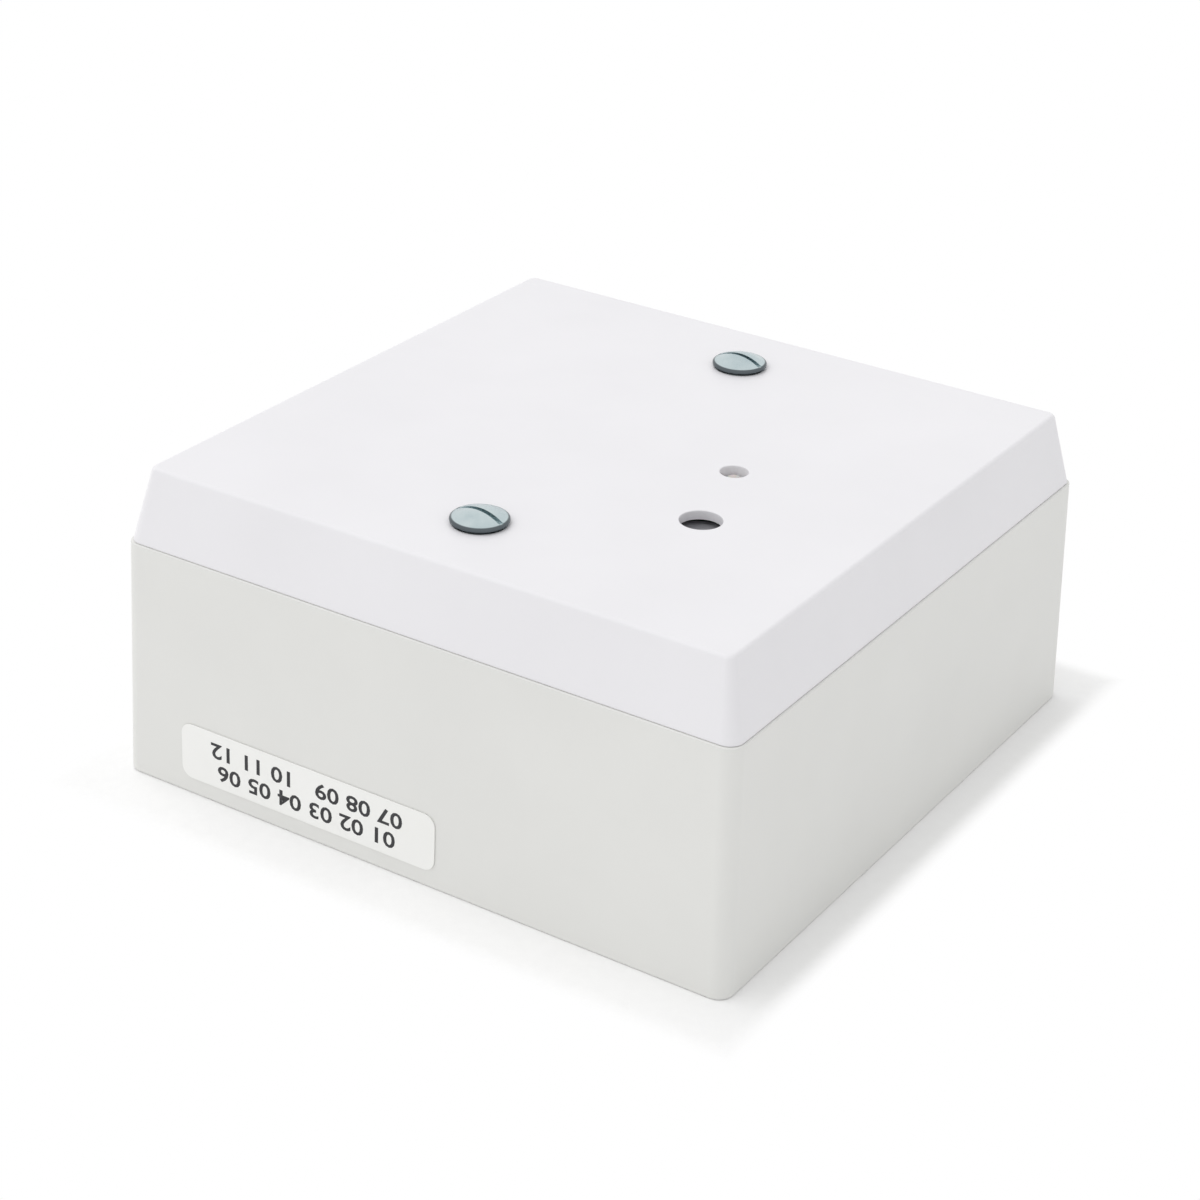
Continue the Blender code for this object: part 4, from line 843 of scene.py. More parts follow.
def rounded_corner(
    before: Sequence[float], corner: Sequence[float], after: Sequence[float], radius: float, steps: int,
) -> list[Vector]:
    """Points that round one corner of a path with an arc.

    Args:
        before: the point before the corner.
        corner: the corner.
        after: the point after it.
        radius: the arc's radius.
        steps: the steps along the arc.

    Returns:
        The arc's points.
    """
    before, corner, after = Vector(before), Vector(corner), Vector(after)
    towards = (before - corner).normalized()
    away = (after - corner).normalized()
    half_angle = towards.angle(away) / 2
    centre = corner + (towards + away).normalized() * (radius / math.sin(half_angle))
    start = corner + towards * (radius / math.tan(half_angle)) - centre
    end = corner + away * (radius / math.tan(half_angle)) - centre
    sweep = start.angle(end)
    points = []
    for step in range(steps + 1):
        share = sweep * step / steps
        points.append(centre + (start * math.sin(sweep - share) + end * math.sin(share)) / math.sin(sweep))
    return points


# ---------------------------------------------------------------- the box on the wall


@dataclass
class BackBox:
    """The open box: drafted walls, screw pillars, wall slots, cable entry and knockouts."""

    draft_run: float = 0.9 * MM
    rim_rise: float = 0.13 * MM
    wall: float = 2.3 * MM
    floor: float = 2.2 * MM
    corner: float = 2.1 * MM
    inside_corner: float = 1.0 * MM
    foot: float = 0.3 * MM
    rim_edge: float = 0.12 * MM
    floor_fillet: float = 0.8 * MM
    pillar_radius: float = 4.6 * MM
    pillar_edge: float = 0.3 * MM
    web: float = 1.6 * MM
    web_drop: float = 2.0 * MM
    bore_radius: float = 2.05 * MM
    bore_floor: float = 20.5 * MM
    pocket_gap: float = 0.06 * MM
    slot_radius: float = 2.0 * MM
    slot_length: float = 8.0 * MM
    slot_seat: float = 0.6 * MM
    entry_radius: float = 10.0 * MM
    knockout_radius: float = 10.0 * MM
    knockout_depth: float = 1.1 * MM
    knockout_height: float = 16.0 * MM
    ejector_radius: float = 2.2 * MM
    ejector_depth: float = 0.1 * MM
    ejector_aside: float = 7.0 * MM

    def __post_init__(self) -> None:
        """Take the box's place and the inserts' from the frame."""
        self.place = Extent.of("back_box")
        self.inserts = [Extent.of(f"screw_insert_{end}") for end in ("front", "rear")]

    def wall_half(self, height: float) -> float:
        """Half the box's outer width at a height: its walls lean in slightly."""
        return self.place.size.x / 2 - self.draft_run * height / self.place.size.z

    def shell(self) -> Mesh:
        """The plain open box, with a rounded foot and a rounded rim close under the cover.

        Returns:
            The box without its pillars and openings.
        """
        height = self.place.size.z + self.rim_rise
        sections = []
        for step in range(5):
            angle = QUARTER * (step / 4 - 1)
            level = self.foot * (1 + math.sin(angle))
            inset = self.foot * (1 - math.cos(angle))
            half = self.wall_half(level) - inset
            sections.append((half, half, self.corner - inset, level))
        for step in range(4):
            inset = self.rim_edge * (1 - math.cos(QUARTER * step / 3))
            level = height - self.rim_edge * (1 - math.sin(QUARTER * step / 3))
            half = self.wall_half(level) - inset
            sections.append((half, half, self.corner - inset, level))
        mouth = self.wall_half(height) - self.wall
        for step in range(3):
            inset = self.rim_edge * math.sin(QUARTER * step / 2)
            level = height - self.rim_edge * (1 - math.cos(QUARTER * step / 2))
            half = mouth + self.rim_edge - inset
            sections.append((half, half, self.inside_corner + self.rim_edge - inset, level))
        floor_half = self.wall_half(self.floor) - self.wall
        for step in range(4):
            angle = QUARTER * step / 3
            inset = self.floor_fillet * (1 - math.cos(angle))
            level = self.floor + self.floor_fillet * (1 - math.sin(angle))
            half = floor_half - inset
            sections.append((half, half, max(self.inside_corner - inset, TINY), level))
        return lofted(sections)

    def pillar(self, insert: Extent) -> Mesh:
        """One screw pillar with its web to the nearest wall.

        Args:
            insert: the insert that the pillar holds.

        Returns:
            The pillar and its web.
        """
        x, y = insert.centre.x, insert.centre.y
        top = insert.high.z
        column = rod(self.pillar_radius, self.floor - MM, top, self.pillar_edge, ROUND)
        reach = math.copysign(self.wall_half(top) - self.wall + MM, y)
        low, high = sorted((y, reach))
        half = self.web / 2
        web = block((x - half, low, self.floor - MM), (x + half, high, top - self.web_drop), 0.1 * MM)
        return combined(moved(column, x, y), Operation.ADD, [web])

    def bore(self, insert: Extent) -> Mesh:
        """Cutter for the screw's bore, with the insert's pocket above it.

        Args:
            insert: the insert above the bore.

        Returns:
            The cutter.
        """
        tail = self.bore_radius
        pocket = insert.size.x / 2 + self.pocket_gap
        seat = insert.low.z
        top = insert.high.z
        lead = 0.25 * MM
        profile = [
            (0, self.bore_floor), (tail, self.bore_floor), (tail, seat), (pocket, seat),
            (pocket, top - lead), (pocket + lead, top), (pocket + lead, top + OVERCUT), (0, top + OVERCUT),
        ]
        return insert.at(turned(profile))

    def floor_holes(self) -> list[Mesh]:
        """Cutters for the cable entry and the two wall slots.

        Returns:
            The three cutters.
        """
        edge = 0.3 * MM
        entry = turned(
            [
                (0, -OVERCUT), (self.entry_radius + edge, -OVERCUT), (self.entry_radius + edge, 0),
                (self.entry_radius, edge), (self.entry_radius, self.floor - edge),
                (self.entry_radius + edge, self.floor), (self.entry_radius + edge, self.floor + OVERCUT),
                (0, self.floor + OVERCUT),
            ],
            ROUND * 2,
        )
        holes = [entry]
        radius, half, seat = self.slot_radius, self.slot_length / 2, self.slot_seat
        for side in (-1, 1):
            slot = lofted(
                [
                    (half, radius, radius - TINY, -OVERCUT),
                    (half, radius, radius - TINY, self.floor - seat),
                    (half + seat, radius + seat, radius + seat - TINY, self.floor),
                    (half + seat, radius + seat, radius + seat - TINY, self.floor + OVERCUT),
                ]
            )
            holes.append(moved(slot, x=side * abs(self.inserts[0].centre.y)))
        return holes

    def knockouts(self) -> list[Mesh]:
        """Cutters that thin each wall from the inside to a round disc.

        Returns:
            The four cutters.
        """
        inner = self.wall_half(self.knockout_height) - self.wall
        discs = []
        for quarter in range(4):
            disc = rod(
                self.knockout_radius, inner - OVERCUT, inner + self.knockout_depth, 0.2 * MM, ROUND * 2,
            )
            moved(rotated(disc, QUARTER, Axis.Y), z=self.knockout_height)
            discs.append(rotated(disc, QUARTER * quarter, Axis.Z))
        return discs

    def ejector_marks(self) -> list[Mesh]:
        """Shallow round marks that the mould's pins leave, clear of the pillars, on the floor and the back.

        Returns:
            The cutters.
        """
        marks = []
        place = self.wall_half(0) * 0.72
        for x in (-place, 0, place):
            aside = 0 if x else self.ejector_aside
            for y in (-place, place):
                mark = rod(self.ejector_radius, self.floor - self.ejector_depth, self.floor + OVERCUT)
                marks.append(moved(mark, x + aside, y))
                mark = rod(self.ejector_radius, -OVERCUT, self.ejector_depth)
                marks.append(moved(mark, x, y))
        return marks

    def build(self) -> None:
        """Make the box."""
        mesh = combined(self.shell(), Operation.ADD, [self.pillar(insert) for insert in self.inserts])
        cutters = [self.bore(insert) for insert in self.inserts]
        cutters += self.floor_holes() + self.knockouts() + self.ejector_marks()
        mesh = combined(mesh, Operation.CUT, [joined(cutters)])
        make_piece("box_shell", mesh, BOX_PLASTIC, "box", ["back_box"])


@dataclass
class ScrewInsert:
    """A knurled brass insert, pressed into its pillar."""

    end: str
    bore: float = 1.62 * MM
    knurl: float = 0.12 * MM
    teeth: int = 36

    def build(self) -> None:
        """Make the insert, with its knurled bands and a lead-in."""
        node = f"screw_insert_{self.end}"
        place = Extent.of(node)
        radius = place.size.x / 2
        length = place.size.z
        lead = 0.3 * MM
        bands = [0.0, 0.42, 0.5, 0.58, 1.0]
        profile = [(self.bore, lead), (self.bore + lead, 0), (radius - lead, 0), (radius, lead)]
        for low, high in ((bands[1], bands[2]), (bands[2], bands[3])):
            inner = radius - 2 * self.knurl
            profile += [(radius if low == bands[1] else inner, length * low), (inner, length * high)]
        profile += [(radius, length * bands[3] + lead), (radius, length - lead), (radius - lead, length)]
        profile += [(self.bore + lead, length), (self.bore, length - lead)]
        mesh = turned(profile, self.teeth * 2, closed=True)
        for vert in mesh.verts:
            reach = math.hypot(vert.co.x, vert.co.y)
            tooth = round(math.atan2(vert.co.y, vert.co.x) / math.tau * self.teeth * 2) % 2
            if tooth and reach > radius - TINY:
                vert.co.xy *= 1 - self.knurl / reach
        place.at(mesh, place.low.z)
        make_piece(f"insert_{self.end}", mesh, TURNED_BRASS, "box", [node])


@dataclass
class DateLabel:
    """The label low on the -Y wall: white stock with two rows of plain figures.

    The rows hold the numbers of the twelve months, upside down as on the wall.
    """

    rows: tuple[str, str] = ("01 02 03 04 05 06", "07 08 09   10 11 12")
    radius: float = 1.6 * MM
    edge: float = 0.04 * MM
    figure: float = 2.15 * MM
    pitch: float = 3.0 * MM
    stretch: float = 1.26
    ink: float = 0.012 * MM
    draft: float = math.atan2(0.9, 32.25)

    def laid(self, mesh: Mesh, place: Extent) -> Mesh:
        """Stand a flat mesh up against the drafted wall.

        Args:
            mesh: a mesh that faces +Z, which is changed.
            place: the label's extent.

        Returns:
            The same mesh.
        """
        rotated(mesh, QUARTER - self.draft, Axis.X)
        middle = (place.low.z + place.high.z) / 2
        face = (place.low.y + place.high.y) / 2
        return moved(mesh, place.centre.x, face, middle)

    def build(self) -> None:
        """Make the stock and its printed figures."""
        place = Extent.of("date_label")
        half_x, half_y = place.size.x / 2, place.size.z / 2
        thickness = place.size.y - (place.size.z * math.tan(self.draft))
        low, high = -thickness / 2, thickness / 2
        stock = lofted(
            [
                (half_x, half_y, self.radius, low), (half_x, half_y, self.radius, high - self.edge),
                (half_x - self.edge, half_y - self.edge, self.radius - self.edge, high),
            ]
        )
        make_piece("label_stock", self.laid(stock, place), LABEL_STOCK, "box", ["date_label"])
        rows = []
        for row, side in zip(self.rows, (1, -1)):
            figures = numerals(row, self.figure, self.ink)
            bmesh.ops.scale(figures, verts=figures.verts, vec=(self.stretch, 1, 1))
            rows.append(moved(figures, y=side * self.pitch / 2, z=high + self.ink / 2))
        figures = rotated(joined(rows), math.pi, Axis.Z)
        make_piece("label_figures", self.laid(figures, place), LABEL_PRINT, "box")


# ---------------------------------------------------------------- the cover


@dataclass
class CoverPlate:
    """The cover: a plate with steep sides, a spigot, screw bosses and board posts."""

    chamfer_run: float = 2.25 * MM
    height: float = 9.65 * MM
    base_drop: float = 0.13 * MM
    plate: float = 2.0 * MM
    wall: float = 2.2 * MM
    base_corner: float = 1.9 * MM
    top_corner: float = 1.1 * MM
    inside_corner: float = 1.0 * MM
    top_edge: float = 0.6 * MM
    base_edge: float = 0.1 * MM
    spigot_depth: float = 2.0 * MM
    spigot_wall: float = 1.4 * MM
    spigot_inset: float = 2.3 * MM
    spigot_edge: float = 0.2 * MM
    hole_edge: float = 0.12 * MM
    boss_radius: float = 4.6 * MM
    post_radius: float = 3.0 * MM
    post_fillet: float = 0.6 * MM
    post_bore: float = 1.15 * MM
    recess_gap: float = 0.2 * MM
    head_lift: float = 0.55 * MM
    head_rim: float = 0.25 * MM
    head_cone: float = 1.5 * MM
    screw_bore: float = 2.05 * MM
    button_radius: float = 2.65 * MM
    button_lip: float = 1.2 * MM
    button_pocket: float = 4.5 * MM
    light_gap: float = 0.3 * MM
    ejector_radius: float = 1.8 * MM
    ejector_depth: float = 0.1 * MM

    def __post_init__(self) -> None:
        """Take the cover's place and its neighbours' from the frame."""
        self.place = Extent.of("cover_plate")
        self.top = self.place.high.z
        self.base = self.top - self.height - self.base_drop
        self.ceiling = self.top - self.plate
        self.base_half = self.place.size.x / 2
        self.top_half = self.base_half - self.chamfer_run
        self.board_top = Extent.of("circuit_board").high.z
        self.screws = [Extent.of(f"cover_screw_{end}") for end in ("front", "rear")]
        self.posts = [Extent.of(f"board_screw_{number}") for number in range(1, 5)]
        self.button = Extent.of("test_plunger")
        self.light = Extent.of("status_led")

    def shell(self) -> Mesh:
        """The plate, its steep sides and its spigot in one skin.

        Returns:
            The cover without its columns and holes.
        """
        inner = self.top_half - self.wall
        spigot = self.base_half - self.spigot_inset
        spigot_inner = spigot - self.spigot_wall
        under = self.base + self.base_drop - self.spigot_depth
        radius, edge = self.inside_corner, self.spigot_edge
        sections = [
            (inner - radius, inner - radius, TINY, self.ceiling),
            (inner - 0.3 * radius, inner - 0.3 * radius, 0.7 * radius, self.ceiling - 0.3 * radius),
            (inner, inner, radius, self.ceiling - radius), (spigot_inner, spigot_inner, radius, self.base),
            (spigot_inner, spigot_inner, radius, under + edge),
            (spigot_inner + edge, spigot_inner + edge, radius, under),
            (spigot - edge, spigot - edge, radius, under), (spigot, spigot, radius, under + edge),
            (spigot, spigot, radius, self.base),
        ]
        for step in range(4):
            inset = self.base_edge * (1 - math.sin(QUARTER * step / 3))
            level = self.base + self.base_edge * (1 - math.cos(QUARTER * step / 3))
            sections.append(
                (self.base_half - inset, self.base_half - inset, self.base_corner - inset, level)
            )
        below = (self.base_half, 0, self.base)
        edge_line = (self.top_half, 0, self.top)
        for point in rounded_corner(below, edge_line, (0, 0, self.top), self.top_edge, 6):
            inset = max(0.0, self.top_half + self.top_edge * 0.4 - point.x)
            corner = self.top_corner - 0.5 * min(inset, self.top_edge)
            sections.append((point.x, point.x, corner, point.z))
        return lofted(sections)

    def columns(self) -> list[Mesh]:
        """Bosses down to the pillars, and posts down to the board, with filleted roots.

        Returns:
            The two bosses and the four posts.
        """
        columns = []
        for screw in self.screws:
            column = self.column(self.boss_radius, self.place.low.z)
            columns.append(screw.at(column))
        for post in self.posts:
            column = self.column(self.post_radius, self.board_top + 0.3 * MM)
            columns.append(post.at(column))
        return columns

    def column(self, radius: float, low: float) -> Mesh:
        """A round column that hangs from the ceiling.

        Args:
            radius: the column's radius.
            low: the height of its lower end.

        Returns:
            The column.
        """
        edge = 0.2 * MM
        root = arc(
            (radius + self.post_fillet, self.ceiling - self.post_fillet), self.post_fillet, math.pi, QUARTER,
            4,
        )
        profile = [(0, low), (radius - edge, low), (radius, low + edge), *root]
        profile += [(radius + self.post_fillet, self.ceiling + MM), (0, self.ceiling + MM)]
        return turned(profile)

    def flared(self, radius: float, low: float) -> list[tuple[float, float]]:
        """The upper stretch of a hole's cutter, with the plate's rounded rim.

        Args:
            radius: the hole's radius.
            low: the height where the stretch starts.

        Returns:
            Its (radius, height) points.
        """
        edge = self.hole_edge
        rim = arc((radius + edge, self.top - edge), edge, math.pi, QUARTER, 4)
        return [(radius, low), *rim, (radius + edge, self.top + OVERCUT), (0, self.top + OVERCUT)]

    def holes(self) -> list[Mesh]:
        """Cutters for the screws, the light, the button and the board screws.

        Returns:
            The cutters.
        """
        cutters = []
        low = self.place.low.z - OVERCUT
        for screw in self.screws:
            seat = self.top + self.head_lift - self.head_rim - self.head_cone
            widest = screw.size.x / 2 + self.recess_gap
            slope = (widest - self.screw_bore) / self.head_cone
            mouth = self.screw_bore + (self.top - seat) * slope - self.hole_edge
            profile = [
                (0, low), (self.screw_bore, low), (self.screw_bore, seat),
                *self.flared(mouth, self.top - self.hole_edge - TINY)
            ]
            cutters.append(screw.at(turned(profile)))
        lip = self.top - self.button_lip
        profile = [
            (0, self.ceiling - OVERCUT), (self.button_pocket, self.ceiling - OVERCUT),
            (self.button_pocket, lip), *self.flared(self.button_radius, lip)
        ]
        cutters.append(self.button.at(turned(profile)))
        bore = StatusLight.radius + self.light_gap
        profile = [
            (0, self.ceiling - OVERCUT), (bore, self.ceiling - OVERCUT), *self.flared(bore, self.ceiling)
        ]
        cutters.append(self.light.at(turned(profile)))
        for post in self.posts:
            hole = rod(self.post_bore, self.board_top - OVERCUT, post.high.z + 0.3 * MM)
            cutters.append(post.at(hole))
        return cutters

    def ejector_marks(self) -> list[Mesh]:
        """Shallow round marks that the mould's pins leave under the plate.

        Returns:
            The cutters.
        """
        place = self.top_half * 0.8
        level = self.ceiling + self.ejector_depth
        spots = [(x, y) for x in (-place, place) for y in (-place, place)] + [(-place, 0), (place, 0)]
        return [moved(rod(self.ejector_radius, self.ceiling - OVERCUT, level), x, y) for x, y in spots]

    def build(self) -> None:
        """Make the cover."""
        mesh = combined(self.shell(), Operation.ADD, [joined(self.columns())])
        mesh = combined(mesh, Operation.CUT, [joined(self.holes() + self.ejector_marks())])
        make_piece("cover_shell", mesh, COVER_PLASTIC, "cover", ["cover_plate"])


@dataclass
class CoverScrew:
    """A slotted machine screw with a raised countersunk head that stands proud, and a cut thread."""

    end: str
    rim: float = 0.25 * MM
    rim_edge: float = 0.08 * MM
    cone: float = 1.5 * MM
    flank: float = 0.3 * MM
    flank_run: float = 0.5 * MM
    dome: float = 0.85 * MM
    slot_width: float = 0.65 * MM
    slot_depth: float = 0.95 * MM
    slot_edge: float = 0.06 * MM
    slot_turn: float = math.radians(-4.5)
    shank: float = 1.75 * MM
    thread_depth: float = 0.36 * MM
    pitch: float = 0.6 * MM
    plain: float = 2.2 * MM
    tip: float = 0.7 * MM

    @property
    def top(self) -> float:
        """The head's height above its rim."""
        return self.flank + self.dome

    def head(self, radius: float, core: float, seat: float) -> Mesh:
        """The head and the plain part of the shank.

        Args:
            radius: the head's radius.
            core: the radius under the thread.
            seat: the height of the screw's lower end.

        Returns:
            The turned solid, with the head's rim at z = 0.
        """
        crown = radius - self.flank_run
        dome_radius = (crown**2 + self.dome**2) / (2 * self.dome)
        start = math.acos(crown / dome_radius)
        dome = arc((0, self.top - dome_radius), dome_radius, start, QUARTER, 12)
        quarter = arc((0, 0), 1.0, 0, QUARTER, 6)[:-1]
        flank = [(crown + self.flank_run * u, self.flank * v) for u, v in quarter]
        profile = [
            (0, seat), (core - self.tip * 0.6, seat), (core, seat + self.tip),
            (core, -self.rim - self.cone - self.plain),
            (self.shank, -self.rim - self.cone - self.plain + 0.2 * MM), (self.shank, -self.rim - self.cone),
            (radius - self.rim_edge, -self.rim), (radius, -self.rim + self.rim_edge), *flank, *dome
        ]
        return turned(profile, 2 * ROUND)

    def slot(self, radius: float) -> Mesh:
        """Cutter for the slot, with its upper edges opened a little.

        Args:
            radius: the head's radius.

        Returns:
            The cutter.
        """
        half, reach = self.slot_width / 2, radius + OVERCUT
        floor = self.top - self.slot_depth
        groove = block((-reach, -half, floor), (reach, half, self.top + OVERCUT), self.slot_edge)
        return rotated(groove, self.slot_turn, Axis.Z)

    def build(self) -> None:
        """Make the screw."""
        node = f"cover_screw_{self.end}"
        place = Extent.of(node)
        radius = place.size.x / 2
        core = self.shank - self.thread_depth
        tip = self.top - place.size.z
        solid = combined(self.head(radius, core, tip), Operation.CUT, [self.slot(radius)])
        thread_top = -self.rim - self.cone - self.plain + self.pitch
        thread = helix(self.shank, self.thread_depth, self.pitch, tip + self.tip * 0.4, thread_top)
        mesh = place.at(joined([solid, thread]), place.high.z - self.top)
        # The finish paints a shade on the head's flank, outside the crown's radius.
        finish = LatheFinish(
            f"blue_passivated_zinc_{self.end}", "zinc_plate", "#c6d2d4", "#b4c3c7", 0.26, 0.06,
            grain=0.5 * MM, relief=0.004 * MM, cloud=2.6 * MM, metallic=1.0, axis_x=place.centre.x,
            axis_y=place.centre.y,
        )
        make_piece(f"screw_{self.end}", mesh, finish, node, [node])


# ---------------------------------------------------------------- switches and light


@dataclass
class PushSwitch:
    """A square push switch: moulded body, steel frame with rivets and pins, round plunger."""

    name: str
    frame: float = 0.3 * MM
    frame_corner: float = 0.5 * MM
    rivet: float = 0.55 * MM
    rivet_inset: float = 0.95 * MM
    well: float = 2.45 * MM
    stem: float = 1.7 * MM
    stem_edge: float = 0.25 * MM
    button: float = 3.9 * MM
    button_height: float = 1.0 * MM
    dish: float = 0.12 * MM
    flange: float = 0.55 * MM
    flange_radius: float = 2.3 * MM
    pin: tuple[float, float, float] = (0.9 * MM, 0.7 * MM, 0.2 * MM)
    pin_y: float = 2.25 * MM

    def __post_init__(self) -> None:
        """Take the switch's places from the frame, and which way it faces."""
        self.body = Extent.of(f"{self.name}_switch_body")
        self.cap = Extent.of(f"{self.name}_plunger")
        board = Extent.of("circuit_board")
        self.faces_up = self.body.centre.z > board.centre.z
        self.face = board.high.z if self.faces_up else board.low.z

    def placed(self, mesh: Mesh) -> Mesh:
        """Bring a mesh from the switch's own place, with the board at its foot, to the board.

        Args:
            mesh: the mesh, which is changed.

        Returns:
            The same mesh.
        """
        if not self.faces_up:
            rotated(mesh, math.pi, Axis.X)
        return self.body.at(mesh, self.face)

    def moulding(self, half: float, foot: float, top: float) -> Mesh:
        """The square body, with a well for the plunger and a bevel round its top.

        Args:
            half: half the body's width.
            foot: the height of its underside.
            top: the height of its face.

        Returns:
            The body.
        """
        body = lofted(
            [
                (half, half, 0.2 * MM, foot), (half, half, 0.2 * MM, top - 0.25 * MM),
                (half - 0.2 * MM, half - 0.2 * MM, 0.2 * MM, top),
            ],
            3,
        )
        well = rod(self.well, top - 1.2 * MM, top + OVERCUT, steps=ROUND)
        return combined(body, Operation.CUT, [well])

    def steel(self, half: float, top: float) -> Mesh:
        """The frame plate with its rivet heads, and the four pins that are soldered down.

        Args:
            half: half the plate's width.
            top: the height of the plate's underside.

        Returns:
            The steel pieces, as one mesh.
        """
        plate = lofted(
            [(half, half, self.frame_corner, top), (half, half, self.frame_corner, top + self.frame)], 4,
        )
        hole = rod(self.stem + 0.15 * MM, top - OVERCUT, top + 2 * self.frame, steps=ROUND)
        plate = combined(plate, Operation.CUT, [hole])
        place = half - self.rivet_inset
        high = top + 1.5 * self.frame
        head = [
            (0, top), (self.rivet, top), (self.rivet, high - 0.1 * MM), (self.rivet * 0.7, high), (0, high),
        ]
        rivets = [moved(turned(head, 16), x, y) for x in (-place, place) for y in (-place, place)]
        length, width, thickness = self.pin
        pins = []
        for x in (-1, 1):
            for y in (-self.pin_y, self.pin_y):
                foot = block((0, -width / 2, 0.02 * MM), (length, width / 2, thickness), 0.04 * MM)
                rise = block((0, -width / 2, 0.02 * MM), (thickness, width / 2, 1.1 * MM), 0.04 * MM)
                pin = joined([foot, rise])
                rotated(pin, 0 if x > 0 else math.pi, Axis.Z)
                pins.append(moved(pin, x * (half - 0.05 * MM), y))
        return joined([plate, *rivets, *pins])

    def plunger(self, low: float, high: float) -> Mesh:
        """The round stem, on the flange that keeps it in the well, with a button cap on an upper switch.

        Args:
            low: the height of its flange.
            high: the height of its face.

        Returns:
            The plunger.
        """
        edge = self.stem_edge
        head = self.button if self.faces_up else self.stem
        rim = arc((head - edge, high - edge), edge, 0, QUARTER, 4)
        flange = low + self.flange
        profile = [(0, low), (self.flange_radius, low), (self.flange_radius, flange), (self.stem, flange)]
        if self.faces_up:
            under = high - self.button_height
            profile += [(self.stem, under), (head - edge / 2, under), (head, under + edge / 2)]
        dish = [(head * 0.62, high), (head * 0.5, high - self.dish * 0.8), (0, high - self.dish)]
        return turned([*profile, *rim, *(dish if self.faces_up else [(0, high)])])

    def build(self) -> None:
        """Make the switch."""
        foot = min(abs(self.body.low.z - self.face), abs(self.body.high.z - self.face))
        top = foot + self.body.size.z
        half = self.body.size.x / 2
        high = max(abs(self.cap.low.z - self.face), abs(self.cap.high.z - self.face))
        nodes = [f"{self.name}_switch_body", f"{self.name}_switch_frame", f"{self.name}_plunger"]
        moulding = self.placed(self.moulding(half, foot, top))
        make_piece(f"{self.name}_switch_moulding", moulding, BLACK_PLASTIC, "cover", nodes[:1])
        steel = self.placed(self.steel(half, top + 0.05 * MM))
        make_piece(f"{self.name}_switch_steel", steel, TINNED_STEEL, "cover", nodes[1:2])
        plunger = self.placed(self.plunger(high - self.cap.size.z, high))
        make_piece(f"{self.name}_switch_button", plunger, GREY_ACETAL, nodes[2], nodes[2:])


@dataclass
class StatusLight:
    """A round light of diffused epoxy on its spacer, with two leads."""

    radius: float = 1.5 * MM
    flange: float = 1.0 * MM
    edge: float = 0.1 * MM

    def build(self) -> None:
        """Make the lens, and dress the spacer and the leads."""
        place = Extent.of("status_led")
        length = place.size.z
        foot = place.size.x / 2
        dome = arc((0, length - self.radius), self.radius, 0, QUARTER, 10)
        profile = [
            (0, 0), (foot - self.edge, 0), (foot, self.edge), (foot, self.flange - self.edge),
            (foot - self.edge, self.flange), (self.radius, self.flange), *dome
        ]
        lens = place.at(turned(profile, 40), place.low.z)
        make_piece("light_lens", lens, LENS, "cover", ["status_led"])
        dress_nodes(["led_spacer"], WHITE_PLASTIC)
        dress_nodes(["led_cathode", "led_anode"], TINNED_STEEL)


# ---------------------------------------------------------------- the board and what it carries


def can(size: Sequence[float], radius: float, wall: float, low: float, high: float, edge: float) -> Mesh:
    """A pressed sheet-metal can: its closed face is low and rounded, and its mouth is high.

    Args:
        size: the can's width and depth.
        radius: the radius of its upright corners.
        wall: the sheet's thickness.
        low: the height of its closed face.
        high: the height of its mouth.
        edge: the radius round its closed face.

    Returns:
        The can, centred on the Z axis.
    """
    half_x, half_y = size[0] / 2, size[1] / 2
    sections = []
    for u, v in arc((edge, edge), edge, 3 * QUARTER, 2 * QUARTER, 4):
        sections.append((half_x - u, half_y - u, radius - u * 0.6, low + v))
    sections.append((half_x, half_y, radius, high))
    inside = radius - wall * 0.5
    sections.append((half_x - wall, half_y - wall, inside, high))
    sections.append((half_x - wall, half_y - wall, inside, low + wall))
    return lofted(sections, 5)


def solder_joint(pin: float, foot: float, height: float) -> Mesh:
    """A wetted cone of solder round a pin, standing on z = 0.

    Args:
        pin: the pin's radius.
        foot: the joint's radius on the board.
        height: how far it climbs the pin.

    Returns:
        The joint.
    """
    profile = [(0, -TINY), (foot, -TINY), (foot * 0.97, 0.05 * MM)]
    profile += [(pin + (foot - pin) * 0.38, height * 0.36), (pin * 1.05, height), (0, height * 1.04)]
    return turned(profile, 16)


